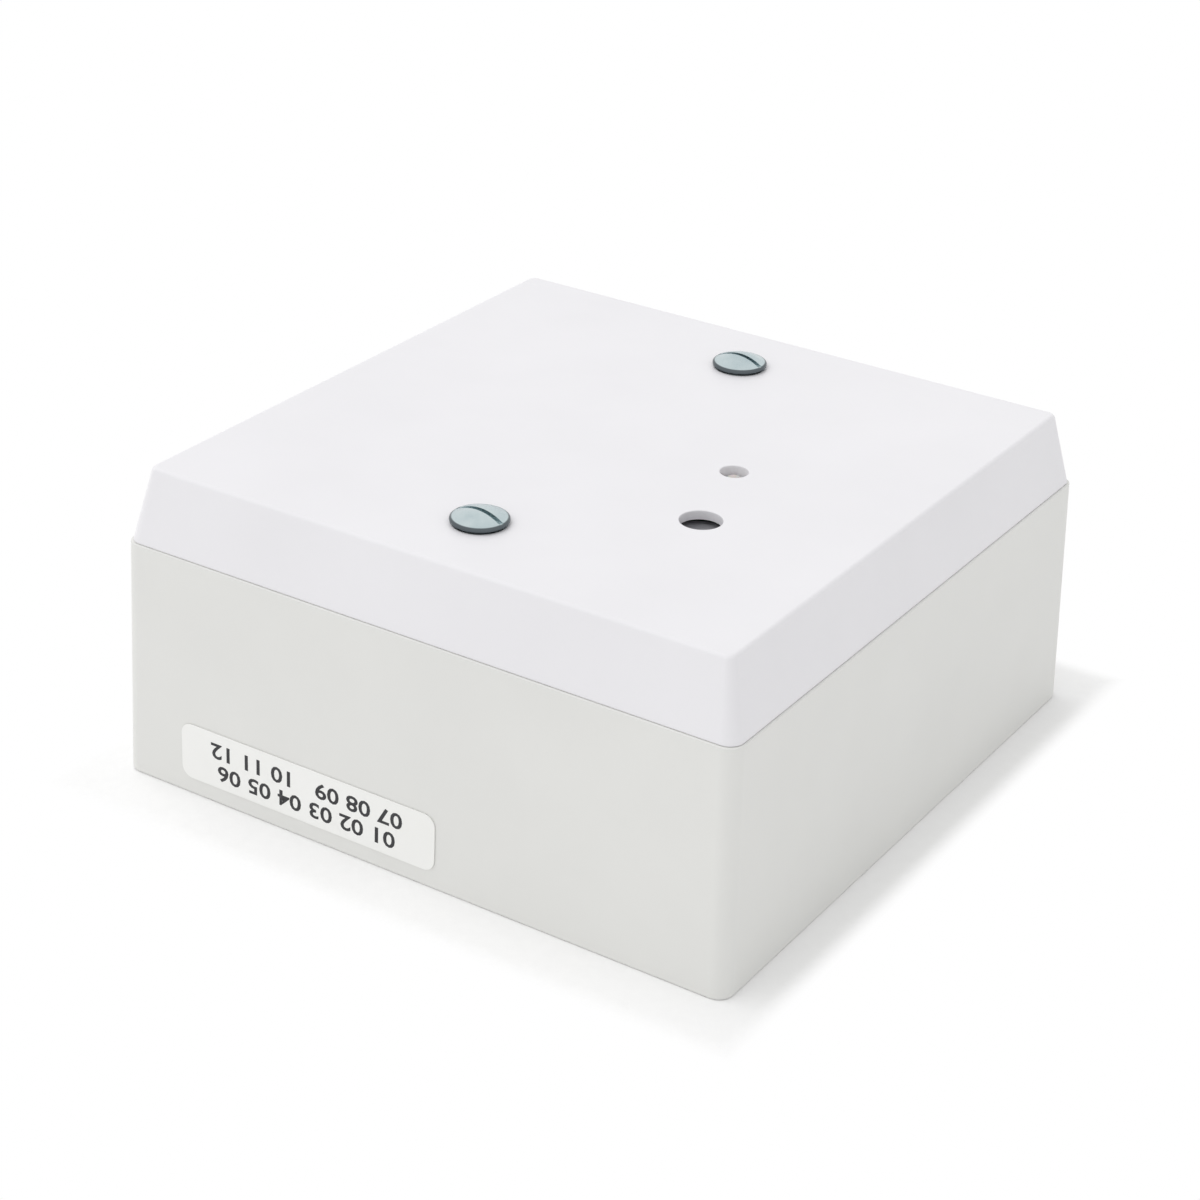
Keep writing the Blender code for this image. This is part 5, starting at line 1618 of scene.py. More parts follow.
@dataclass
class MainBoard:
    """The circuit board: tracks, soldered joints, printed outlines, small parts and its four screws."""

    track: float = 0.32 * MM
    supply: float = 0.9 * MM
    copper: float = 0.035 * MM
    ink: float = 0.16 * MM
    joint_height: float = 0.75 * MM
    joint_foot: float = 1.0 * MM
    pin_inset: float = 0.4 * MM
    via_radius: float = 0.38 * MM
    screw_radius: float = 1.3 * MM
    screw_edge: float = 0.7 * MM
    screw_head: float = 1.6 * MM
    screw_thread: float = 0.3 * MM
    screw_pitch: float = 0.9 * MM
    cross: float = 0.62 * MM

    def __post_init__(self) -> None:
        """Take the board's faces and its pins' places from the frame."""
        self.place = Extent.of("circuit_board")
        pins = [f"radio_pin_{number}" for number in range(1, 6)]
        terminals = [f"terminal_pin_{number}" for number in range(1, 5)]
        self.header = [Extent.of(name).centre for name in pins]
        self.ways = [Extent.of(name) for name in terminals]
        self.leads = [Extent.of(name).centre for name in ("led_cathode", "led_anode")]
        self.tags = [Extent.of(name).centre for name in ("cell_tag_negative", "cell_tag_positive")]
        self.chip = Extent.of("microcontroller")
        self.crystal = Extent.of("crystal")
        self.capacitor = Extent.of("capacitor")
        self.switch = Extent.of("battery_switch_shell")
        self.pairing = Extent.of("pairing_switch_body")

    def on_underside(self, mesh: Mesh, x: float, y: float) -> Mesh:
        """Turn a mesh that stands on z = 0 over, and hang it from the underside."""
        return moved(rotated(mesh, math.pi, Axis.X), x, y, self.place.low.z)

    def joints(self) -> Mesh:
        """Solder on each pin: on the top for what hangs below, and below for the light's leads.

        Returns:
            The joints, as one mesh.
        """
        tall, foot, face = self.joint_height, self.joint_foot, self.place.high.z
        joints = [moved(solder_joint(0.34 * MM, foot, tall), pin.x, pin.y, face) for pin in self.header]
        for way in self.ways:
            joint = solder_joint(0.6 * MM, foot * 1.3, tall)
            joints.append(moved(joint, way.centre.x, way.high.y - self.pin_inset, face))
        for tag in self.tags:
            for side in (-1, 0, 1):
                joint = solder_joint(0.6 * MM, foot * 1.2, tall)
                joints.append(moved(joint, tag.x, tag.y + side * 1.3 * MM, face))
        for lead in self.leads:
            joints.append(self.on_underside(solder_joint(0.3 * MM, foot * 0.9, tall), lead.x, lead.y))
        x, y = self.place.high.x - 2.0 * MM, Extent.of("antenna_wire").low.y + 0.6 * MM
        joints.append(self.on_underside(solder_joint(0.62 * MM, foot * 1.2, tall), x, y))
        return joined(joints)

    def chip_routes(self) -> list[tuple[list, float]]:
        """The tracks that fan out from the chip to the terminals, the radio's header and the crystal.

        Returns:
            Each track's (x, y) points and its width.
        """
        front, rear, middle = self.chip.low.y, self.chip.high.y, self.chip.centre.x
        leg = Controller.pitch
        routes = []
        for index, way in enumerate(self.ways):
            start, x = way.centre.x, middle + (index - 2.5) * leg
            turn = front - (1.2 + 0.45 * index) * MM
            bend = turn - abs(start - x) * 0.4
            path = [(start, way.high.y - self.pin_inset), (start, bend), (x, turn), (x, front)]
            routes.append((path, self.track))
        for index, pin in enumerate(self.header):
            x = middle + (index - 1.5) * leg
            level = rear + (0.8 + 0.38 * index) * MM
            path = [(pin.x, pin.y), (pin.x, level + 0.6 * MM), (pin.x - 0.6 * MM, level)]
            routes.append((path + [(x + 0.6 * MM, level), (x, rear)], self.track * 0.8))
        for index, side in enumerate((-1, 1)):
            start, top = self.crystal.centre.x + side * 2.4 * MM, self.crystal.low.y
            level = top - (0.7 + 0.6 * index) * MM
            x = self.chip.high.x - (0.65 + 1.27 * (1 - index)) * MM
            path = [(start, top), (start, level), (x + 1.2 * MM, level - 0.2 * MM), (x, front)]
            routes.append((path, self.track))
        return routes

    def supply_routes(self) -> list[tuple[list, float]]:
        """The wide tracks: the cell's positive tag to its switch, and its negative tag to a terminal.

        Returns:
            Each track's (x, y) points and its width.
        """
        minus, plus = self.tags
        x, switch = plus.x + 3 * MM, self.switch.centre
        to_switch = [(plus.x, plus.y - 2 * MM), (x, plus.y - 5 * MM), (x, -3 * MM)]
        to_switch += [(switch.x, -7.5 * MM), (switch.x, switch.y)]
        edge, way = self.place.low.x + 3 * MM, self.ways[0]
        to_terminal = [(minus.x, minus.y), (edge, minus.y - 3 * MM), (edge, way.low.y + 6 * MM)]
        to_terminal.append((way.centre.x - 2 * MM, way.high.y - self.pin_inset))
        return [(to_switch, self.supply), (to_terminal, self.supply)]

    def button_and_light_routes(self) -> list[tuple[list, float]]:
        """The tracks of the pairing switch and of the light.

        Returns:
            Each track's (x, y) points and its width.
        """
        x, y = self.pairing.low.x, self.pairing.low.y
        button = [(x - 1 * MM, y + 0.8 * MM), (x - 6 * MM, -12 * MM)]
        button += [(self.capacitor.high.x, -12.4 * MM), (self.chip.high.x, -12.9 * MM)]
        cathode, anode = self.leads
        left = [(cathode.x - 2 * MM, -2 * MM), (1 * MM, -2.4 * MM), (-6 * MM, -2.4 * MM)]
        right = [(anode.x + 1.5 * MM, -2 * MM), (21 * MM, -4 * MM), (21 * MM, -9 * MM)]
        paths = [button, [(cathode.x, cathode.y), *left], [(anode.x, anode.y), *right]]
        return [(path, self.track) for path in paths]

    def tracks(self) -> Mesh:
        """Every track, with a round via at the end of each.

        Returns:
            The tracks, as one mesh.
        """
        low, high = self.place.low.z - self.copper, self.place.low.z + TINY
        routes = self.chip_routes() + self.supply_routes() + self.button_and_light_routes()
        pieces = []
        for path, width in routes:
            pieces.append(strip(path, width, low, high))
            x, y = path[-1]
            pieces.append(moved(rod(self.via_radius, low - 0.01 * MM, high, steps=16), x, y))
        return joined(pieces)

    def printed_outlines(self) -> Mesh:
        """White outlines round the parts on the underside, with a mark at the chip's first leg.

        Returns:
            The print, as one mesh.
        """
        high = self.place.low.z
        low = high - 0.02 * MM
        pieces = []
        gap = 0.5 * MM
        around = [self.crystal, self.switch, self.pairing, Extent.of("terminal_housing")]
        for part in around + [Extent.of("capacitor_base")]:
            x0, y0 = part.low.x - gap, part.low.y - gap
            x1, y1 = part.high.x + gap, part.high.y + gap
            y0 = max(y0, self.place.low.y + gap)
            pieces.append(strip([(x0, y0), (x1, y0), (x1, y1), (x0, y1), (x0, y0)], self.ink, low, high))
        for side in (self.chip.low.x - gap, self.chip.high.x + gap):
            pieces.append(strip([(side, self.chip.low.y), (side, self.chip.high.y)], self.ink, low, high))
        first = rod(2 * self.ink, low, high, steps=16)
        pieces.append(moved(first, self.chip.low.x - 1.2 * MM, self.chip.low.y + 0.6 * MM))
        return joined(pieces)

    def screw(self, node: str) -> Mesh:
        """A pan-head screw with a cross recess and a thread-cutting shank.

        Args:
            node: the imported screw's name.

        Returns:
            The screw, in place.
        """
        place = Extent.of(node)
        head = place.size.x / 2
        seat = self.screw_head
        tip = place.size.z
        core = self.screw_radius - self.screw_thread
        rim = arc((head - self.screw_edge, self.screw_edge), self.screw_edge, -QUARTER, 0, 6)
        profile = [(0, 0.02 * MM), *rim, (head, seat - 0.1 * MM), (head - 0.1 * MM, seat)]
        profile += [(core, seat), (core, tip - 0.9 * MM), (0.15 * MM, tip), (0, tip)]
        arm = head * 0.52
        half = self.cross / 2
        flat = block((-arm, -half, -OVERCUT), (arm, half, self.screw_head * 0.6), 0.06 * MM)
        upright = block((-half, -arm, -OVERCUT), (half, arm, self.screw_head * 0.6), 0.06 * MM)
        solid = combined(turned(profile, 40), Operation.CUT, [flat, upright])
        low, high = seat + 0.4 * MM, tip - 0.4 * MM
        thread = helix(self.screw_radius, self.screw_thread, self.screw_pitch, low, high)
        return place.at(joined([solid, thread]), place.low.z)

    def build(self) -> None:
        """Dress the board and add what is on it."""
        dress_nodes(["circuit_board"], SOLDER_MASK)
        make_piece("board_tracks", self.tracks(), MASKED_COPPER, "cover")
        make_piece("board_joints", self.joints(), SOLDER, "cover")
        make_piece("board_outlines", self.printed_outlines(), BOARD_INK, "cover")
        for number in range(1, 5):
            node = f"board_screw_{number}"
            make_piece(f"pan_screw_{number}", self.screw(node), ZINC_PLATE, "cover", [node])


@dataclass
class SmallParts:
    """Surface-mounted resistors, capacitors and a regulator on the underside."""

    length: float = 2.0 * MM
    width: float = 1.25 * MM
    cap: float = 0.4 * MM
    resistor: float = 0.5 * MM
    ceramic: float = 0.95 * MM
    resistors: tuple = (
        (-22.5, -13.0), (-19.3, -13.0), (-26.5, -6.0), (-26.5, -9.0), (19.8, -2.6), (10.8, -9.6),
    )
    ceramics: tuple = ((-7.4, -4.2), (-7.4, -7.2), (-7.4, -10.2), (10.6, -12.6), (22.6, 1.2))
    regulator: tuple[float, float] = (16.2, -12.6)

    def part(self, x: float, y: float, height: float) -> tuple[Mesh, Mesh]:
        """One chip part: its body and its two soldered end caps, hanging from the board.

        Args:
            x: its place along X.
            y: its place along Y.
            height: its body's height.

        Returns:
            The body and the end caps.
        """
        board = Extent.of("circuit_board").low.z
        half, reach = self.width / 2, self.length / 2
        body = block((-reach + self.cap, -half, -height), (reach - self.cap, half, -0.05 * MM), 0.06 * MM)
        ends = []
        for side in (-1, 1):
            low, high = sorted((side * (reach - self.cap), side * reach))
            ends.append(
                block((low, -half - 0.02 * MM, -height - 0.02 * MM), (high, half + 0.02 * MM, 0), 0.08 * MM)
            )
            wet = moved(block((-0.3 * MM, -half, -0.16 * MM), (0.3 * MM, half, 0), 0.07 * MM), side * reach)
            ends.append(wet)
        return moved(body, x, y, board), moved(joined(ends), x, y, board)

    def regulator_parts(self) -> tuple[Mesh, Mesh]:
        """A three-legged regulator: its body and its legs.

        Returns:
            The body and the legs.
        """
        board = Extent.of("circuit_board").low.z
        x, y = (value * MM for value in self.regulator)
        body = lofted(
            [
                (1.35 * MM, 0.6 * MM, 0.08 * MM, -1.05 * MM), (1.45 * MM, 0.68 * MM, 0.08 * MM, -0.6 * MM),
                (1.35 * MM, 0.6 * MM, 0.08 * MM, -0.1 * MM),
            ],
            2,
        )
        legs = []
        for leg_x, side in ((-0.95 * MM, -1), (0.95 * MM, -1), (0, 1)):
            legs.append(
                gull_wing(leg_x, side, 0.6 * MM, 0.62 * MM, (0.35 * MM, 0.5 * MM), (0.4 * MM, 0.14 * MM))
            )
        return moved(body, x, y, board), moved(joined(legs), x, y, board)

    def build(self) -> None:
        """Make every small part, joined by material."""
        black, grey, metal = [], [], []
        for places, height, bodies in (
            (self.resistors, self.resistor, black), (self.ceramics, self.ceramic, grey),
        ):
            for x, y in places:
                body, ends = self.part(x * MM, y * MM, height)
                bodies.append(body)
                metal.append(ends)
        body, legs = self.regulator_parts()
        make_piece("chip_resistors", joined(black + [body]), CHIP_EPOXY, "cover")
        make_piece("chip_capacitors", joined(grey), CERAMIC, "cover")
        make_piece("chip_ends", joined(metal + [legs]), SOLDER, "cover")


def gull_wing(
    x: float, side: int, face: float, shoulder: float, reach: Sequence[float], sheet: Sequence[float],
) -> Mesh:
    """A chip's leg: out from its side, up to the board at z = 0, and out along it.

    Args:
        x: the leg's place along the chip.
        side: which way it points, -1 or 1, along Y.
        face: how far the chip's side is from its middle.
        shoulder: how far below the board the leg leaves the chip.
        reach: how far out the leg turns up, and how long its foot is.
        sheet: the leg's width and its thickness.

    Returns:
        The leg, as three overlapping lengths with soft edges.
    """
    width, thickness = sheet
    half, edge = width / 2, thickness * 0.3
    knee = face + reach[0]
    runs = [
        ((face - 0.2 * MM, -shoulder), (knee, -shoulder + thickness)),
        ((knee - thickness, -shoulder), (knee, 0)), ((knee - thickness, -thickness), (knee + reach[1], 0)),
    ]
    lengths = []
    for (near, low), (far, high) in runs:
        y0, y1 = sorted((side * near, side * far))
        lengths.append(block((x - half, y0, low), (x + half, y1, high), edge))
    return joined(lengths)


@dataclass
class Controller:
    """The wide chip: a moulded body with a mark at its first leg, and gull-wing legs."""

    legs: int = 8
    pitch: float = 1.27 * MM
    leg_width: float = 0.42 * MM
    leg_thickness: float = 0.22 * MM
    body_width: float = 7.5 * MM
    body_height: float = 2.2 * MM
    draft: float = 0.22 * MM
    reach: float = 0.6 * MM
    foot: float = 0.8 * MM

    def build(self) -> None:
        """Make the body and the legs."""
        place = Extent.of("microcontroller")
        x, y = place.centre.x, place.centre.y
        foot_top = place.high.z
        half_x, half_y = place.size.x / 2, self.body_width / 2
        low = place.low.z
        high = low + self.body_height
        middle = (low + high) / 2
        slope = self.draft
        body = lofted(
            [
                (half_x - slope, half_y - slope, 0.1 * MM, low),
                (half_x, half_y, 0.1 * MM, middle - 0.08 * MM),
                (half_x, half_y, 0.1 * MM, middle + 0.08 * MM),
                (half_x - slope, half_y - slope, 0.1 * MM, high),
            ],
            2,
        )
        dimple = moved(rod(0.5 * MM, low - OVERCUT, low + 0.12 * MM), 1.3 * MM - half_x, 1.3 * MM - half_y)
        notch = moved(rod(0.7 * MM, low - OVERCUT, low + 0.16 * MM), -half_x + slope)
        body = combined(body, Operation.CUT, [dimple, notch])
        make_piece("chip_body", moved(body, x, y), CHIP_EPOXY, "cover", ["microcontroller"])
        legs = []
        shoulder = foot_top - middle + self.leg_thickness / 2
        sheet = (self.leg_width, self.leg_thickness)
        for index in range(self.legs):
            place_x = (index - (self.legs - 1) / 2) * self.pitch
            for side in (-1, 1):
                legs.append(gull_wing(place_x, side, half_y, shoulder, (self.reach, self.foot), sheet))
                wet = block((-0.3 * MM, -0.55 * MM, -0.1 * MM), (0.3 * MM, 0.55 * MM, 0.2 * MM), 0.09 * MM)
                legs.append(moved(wet, place_x, side * (half_y + self.reach + self.foot / 2)))
        make_piece("chip_legs", moved(joined(legs), x, y, foot_top), TINNED_STEEL, "cover")


@dataclass
class Crystal:
    """A low crystal can: a drawn cap with a brim that is welded round."""

    brim: float = 0.5 * MM
    edge: float = 0.45 * MM

    def build(self) -> None:
        """Make the can."""
        place = Extent.of("crystal")
        half_x, half_y = place.size.x / 2, place.size.y / 2
        height = place.size.z
        brim, inner_x, inner_y = self.brim, half_x - self.brim, half_y - self.brim
        sections = []
        for u, v in arc((self.edge, self.edge), self.edge, 3 * QUARTER, 2 * QUARTER, 5):
            sections.append((inner_x - u, inner_y - u, inner_y - u - TINY, v))
        root = 0.12 * MM
        sections.append((inner_x, inner_y, inner_y - TINY, height - brim - root))
        sections.append((inner_x + root, inner_y + root, inner_y + root - TINY, height - brim))
        sections.append((half_x - root, half_y - root, half_y - root - TINY, height - brim))
        sections.append((half_x, half_y, half_y - TINY, height - brim + root))
        sections.append((half_x, half_y, half_y - TINY, height))
        can_mesh = place.at(lofted(sections, 12), place.low.z)
        make_piece("crystal_can", can_mesh, NICKEL_PLATE, "cover", ["crystal"])


@dataclass
class CanCapacitor:
    """An aluminium can with a rolled waist, a scored vent and a dark polarity mark, on its base."""

    edge: float = 0.45 * MM
    waist: float = 0.28 * MM
    waist_height: float = 1.5 * MM
    score: float = 0.22 * MM
    mark: float = 0.45

    def can(self, place: Extent) -> Mesh:
        """The drawn can, its closed end low, with two crossed scores in that end.

        Args:
            place: the capacitor's extent.

        Returns:
            The can, standing on z = 0.
        """
        radius, height = place.size.x / 2, place.size.z
        top = arc((radius - self.edge, self.edge), self.edge, -QUARTER, 0, 5)
        waist = height - self.waist_height
        groove = arc((radius + 0.1 * MM, waist), self.waist + 0.1 * MM, -QUARTER, -3 * QUARTER, 6)
        profile = [
            (0, 0), *top, *groove, (radius, height - 0.1 * MM), (radius - 0.1 * MM, height), (0, height),
        ]
        reach, half, depth = radius * 0.62, self.score / 2, 0.12 * MM
        scores = [
            block((-reach, -half, -OVERCUT), (reach, half, depth)),
            block((-half, -reach, -OVERCUT), (half, reach, depth)),
        ]
        return combined(turned(profile, 56), Operation.CUT, scores)

    def build(self) -> None:
        """Make the can, its mark and its base."""
        place = Extent.of("capacitor")
        x, y = place.centre.x, place.centre.y
        make_piece(
            "capacitor_can", moved(self.can(place), x, y, place.low.z), DRAWN_ALUMINIUM, "cover",
            ["capacitor"],
        )
        radius = place.size.x / 2
        disc = rod(radius - self.edge, -0.012 * MM, 0.004 * MM, steps=56)
        plain = block((-radius * self.mark, -radius, -MM), (radius, radius, MM))
        mark = combined(disc, Operation.CUT, [plain])
        make_piece("capacitor_mark", moved(mark, x, y, place.low.z), CAN_INK, "cover")
        base = Extent.of("capacitor_base")
        half = base.size.x / 2
        foot = block((-half, -half, 0), (half, half, base.size.z), 0.12 * MM)
        corners = []
        for side in (-1, 1):
            corner = rotated(
                block((-MM, -MM, -OVERCUT), (MM, MM, base.size.z + OVERCUT)), QUARTER / 2, Axis.Z,
            )
            corners.append(moved(corner, half, side * half))
        foot = combined(foot, Operation.CUT, corners)
        make_piece(
            "capacitor_foot", moved(foot, x, y, base.low.z), BLACK_PLASTIC, "cover", ["capacitor_base"],
        )


# ---------------------------------------------------------------- the cell and its switch


@dataclass
class Cell:
    """The lithium cell in its sleeve, its welded tags, its foam pad and the tie that holds it."""

    edge: float = 0.7 * MM
    nub_radius: float = 3.2 * MM
    nub: float = 1.1 * MM
    sleeve: float = 0.12 * MM
    sleeve_lip: float = 1.3 * MM
    crimp: float = 0.35 * MM
    crimp_at: float = 3.0 * MM
    weld: float = 0.45 * MM
    band: float = 0.35 * MM
    tie_width: float = 3.5 * MM
    tie_gap: float = 0.3 * MM
    tie_thickness: float = 1.1 * MM

    def __post_init__(self) -> None:
        """Take the places from the frame."""
        self.place = Extent.of("lithium_cell")
        self.radius = self.place.size.y / 2
        self.length = self.place.size.x
        self.board = Extent.of("circuit_board")

    def laid(self, mesh: Mesh) -> Mesh:
        """Lay a mesh that stands on z = 0 along the cell, from its flat end to its nub."""
        rotated(mesh, QUARTER, Axis.Y)
        return moved(mesh, self.place.low.x, self.place.centre.y, self.place.centre.z)

    def metal(self) -> Mesh:
        """The can: a flat end, and a crimped one with the nub in its middle.

        Returns:
            The can, standing on z = 0.
        """
        radius, shoulder = self.radius - self.sleeve, self.length - self.nub
        inset = radius - self.edge
        lower = arc((inset, self.edge), self.edge, -QUARTER, 0, 5)
        upper = arc((inset, shoulder - self.edge), self.edge, 0, QUARTER, 5)
        nub = arc((self.nub_radius - self.band, self.length - self.band), self.band, 0, QUARTER, 4)
        dish = self.crimp
        profile = [(0, dish), (radius * 0.5, dish), (radius * 0.56, 0), *lower, *upper]
        profile += [(inset - 0.8 * MM, shoulder), (inset - 1.0 * MM, shoulder - dish)]
        profile += [
            (self.nub_radius + 0.3 * MM, shoulder - dish), (self.nub_radius, shoulder), *nub,
            (0, self.length),
        ]
        return turned(profile, 72)

    def skin(self) -> Mesh:
        """The sleeve, shrunk over both ends, and drawn in where the can is crimped.

        Returns:
            The sleeve, standing on z = 0.
        """
        radius, shoulder, wall = self.radius, self.length - self.nub, self.sleeve
        inset = radius - self.edge
        lower = arc((inset, self.edge), self.edge, -QUARTER, 0, 5)
        upper = arc((inset, shoulder - self.edge), self.edge, 0, QUARTER, 5)
        crimp = shoulder - self.crimp_at
        groove = [(radius, crimp - 0.6 * MM), (radius - self.crimp, crimp), (radius, crimp + 0.6 * MM)]
        outer = [(inset - self.sleeve_lip, -0.01 * MM), *lower, *groove, *upper]
        outer.append((inset - self.sleeve_lip, shoulder + 0.01 * MM))
        inner = [(inset - self.sleeve_lip, shoulder - wall), (radius - 2 * wall, shoulder - 4 * wall)]
        inner += [
            (radius - 2 * self.crimp, crimp), (radius - 2 * wall, 4 * wall), (inset - self.sleeve_lip, wall),
        ]
        return turned([*outer, *inner], 96, closed=True)

    def tag(self, node: str, side: int) -> Mesh:
        """A nickel strip with four weld marks where it meets the cell.

        Args:
            node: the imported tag's name.
            side: the cell's end, -1 or 1 along X.

        Returns:
            The tag, in place.
        """
        place = Extent.of(node)
        strap = block(place.low, place.high, 0.08 * MM)
        outer = place.high.x if side > 0 else place.low.x
        marks = []
        for y in (-1, 1):
            for z in (-1, 1):
                mark = rod(self.weld, -0.05 * MM, 0.03 * MM, 0.03 * MM, 16)
                rotated(mark, side * QUARTER, Axis.Y)
                marks.append(moved(mark, outer, place.centre.y + y * MM, self.place.centre.z + z * MM))
        return joined([strap, *marks])

    def tie(self) -> Mesh:
        """The tie: a band round the cell and over the board, its lock, and its trimmed tail.

        Returns:
            The tie, in place.
        """
        place = Extent.of("cable_tie")
        half = self.tie_width / 2
        x, y, z = place.centre.x, self.place.centre.y, self.place.centre.z
        near = self.radius + self.tie_gap
        far = near + self.tie_thickness
        edge = 0.25 * MM
        section = arc((far - edge, half - edge), edge, QUARTER, 0, 3)
        section += arc((far - edge, edge - half), edge, 0, -QUARTER, 3)
        section += [(near, -half), (near, half)]
        ring = rotated(turned(section, 96, closed=True), QUARTER, Axis.Y)
        upper = block((-half - MM, -far - MM, 0), (half + MM, far + MM, far + MM))
        pieces = [combined(ring, Operation.CUT, [upper])]
        top = self.board.high.z - z + self.tie_gap
        for side in (-1, 1):
            low, high = sorted((side * near, side * far))
            pieces.append(block((-half, low, -0.3 * MM), (half, high, top + self.tie_thickness), edge))
        pieces.append(block((-half, -far, top), (half, far, top + self.tie_thickness), edge))
        head = place.size.x / 2
        lock = lofted(
            [
                (head, 2.8 * MM, 0.6 * MM, top), (head, 2.8 * MM, 0.6 * MM, place.high.z - z - 0.4 * MM),
                (head - 0.4 * MM, 2.4 * MM, 0.5 * MM, place.high.z - z),
            ],
            4,
        )
        pieces.append(lock)
        return moved(joined(pieces), x, y, z)

    def build(self) -> None:
        """Make the cell and what holds and connects it."""
        make_piece("cell_can", self.laid(self.metal()), NICKEL_PLATE, "cover", ["lithium_cell"])
        make_piece("cell_sleeve", self.laid(self.skin()), SLEEVE, "cover")
        for end, side in (("negative", -1), ("positive", 1)):
            node = f"cell_tag_{end}"
            make_piece(f"tag_{end}", self.tag(node, side), NICKEL_PLATE, "cover", [node])
        make_piece("tie_band", self.tie(), WHITE_PLASTIC, "cover", ["cable_tie"])
        pad = Extent.of("cell_pad")
        foam = make_piece("foam_pad", block(pad.low, pad.high, 0.25 * MM, 3), FOAM, "cover", ["cell_pad"])


@dataclass
class BatterySwitch:
    """The slide switch that connects the cell: a steel shell with feet, and a ribbed slider."""

    wall: float = 0.4 * MM
    edge: float = 0.3 * MM
    travel: float = 2.0 * MM
    knob: tuple[float, float, float] = (2.0 * MM, 1.8 * MM, 3.0 * MM)
    slot_gap: float = 0.3 * MM
    ribs: int = 4

    def build(self) -> None:
        """Make the shell and the slider, and dress the base."""
        shell = Extent.of("battery_switch_shell")
        x, y = shell.centre.x, shell.centre.y
        length, width, height = self.knob
        metal = can(shell.size.xy, 2 * self.wall, self.wall, shell.low.z, shell.high.z, self.edge)
        reach, half = (length + self.travel) / 2 + self.slot_gap, width / 2 + self.slot_gap
        window = block(
            (-reach, -half, shell.low.z - OVERCUT), (reach, half, shell.low.z + 1.5 * self.wall), 0.05 * MM,
        )
        metal = combined(metal, Operation.CUT, [window])
        feet = []
        for side in (-1, 1):
            foot = block((-0.9 * MM, -0.6 * MM, -0.18 * MM), (0.9 * MM, 0.6 * MM, 0.25 * MM), 0.07 * MM)
            feet.append(moved(foot, side * shell.size.x / 2, 0, shell.high.z))
        metal = moved(joined([metal, *feet]), x, y)
        make_piece("slide_switch_shell", metal, TINNED_STEEL, "cover", ["battery_switch_shell"])
        dress_nodes(["battery_switch_base"], BLACK_PLASTIC)
        place = Extent.of("battery_switch_slider")
        low = place.low.z
        carriage_low = low + height + self.wall + 0.2 * MM
        carriage = block((place.low.x, place.low.y, carriage_low), place.high, 0.1 * MM)
        centre = place.centre
        near = (centre.x - length / 2, centre.y - width / 2, low)
        far = (centre.x + length / 2, centre.y + width / 2, carriage_low + 0.3 * MM)
        knob = block(near, far, 0.18 * MM, 3)
        grooves = []
        for index in range(self.ribs):
            along = centre.x + (index - (self.ribs - 1) / 2) * length / (self.ribs + 0.6)
            across = width / 2 + MM
            groove = (along - 0.09 * MM, centre.y - across, low - MM)
            grooves.append(block(groove, (along + 0.09 * MM, centre.y + across, low + 0.22 * MM)))
        knob = combined(knob, Operation.CUT, grooves)
        slider = joined([carriage, knob])
        node = "battery_switch_slider"
        make_piece("slide_switch_knob", slider, YELLOW_PLASTIC, node, [node])


# ---------------------------------------------------------------- terminals and radio


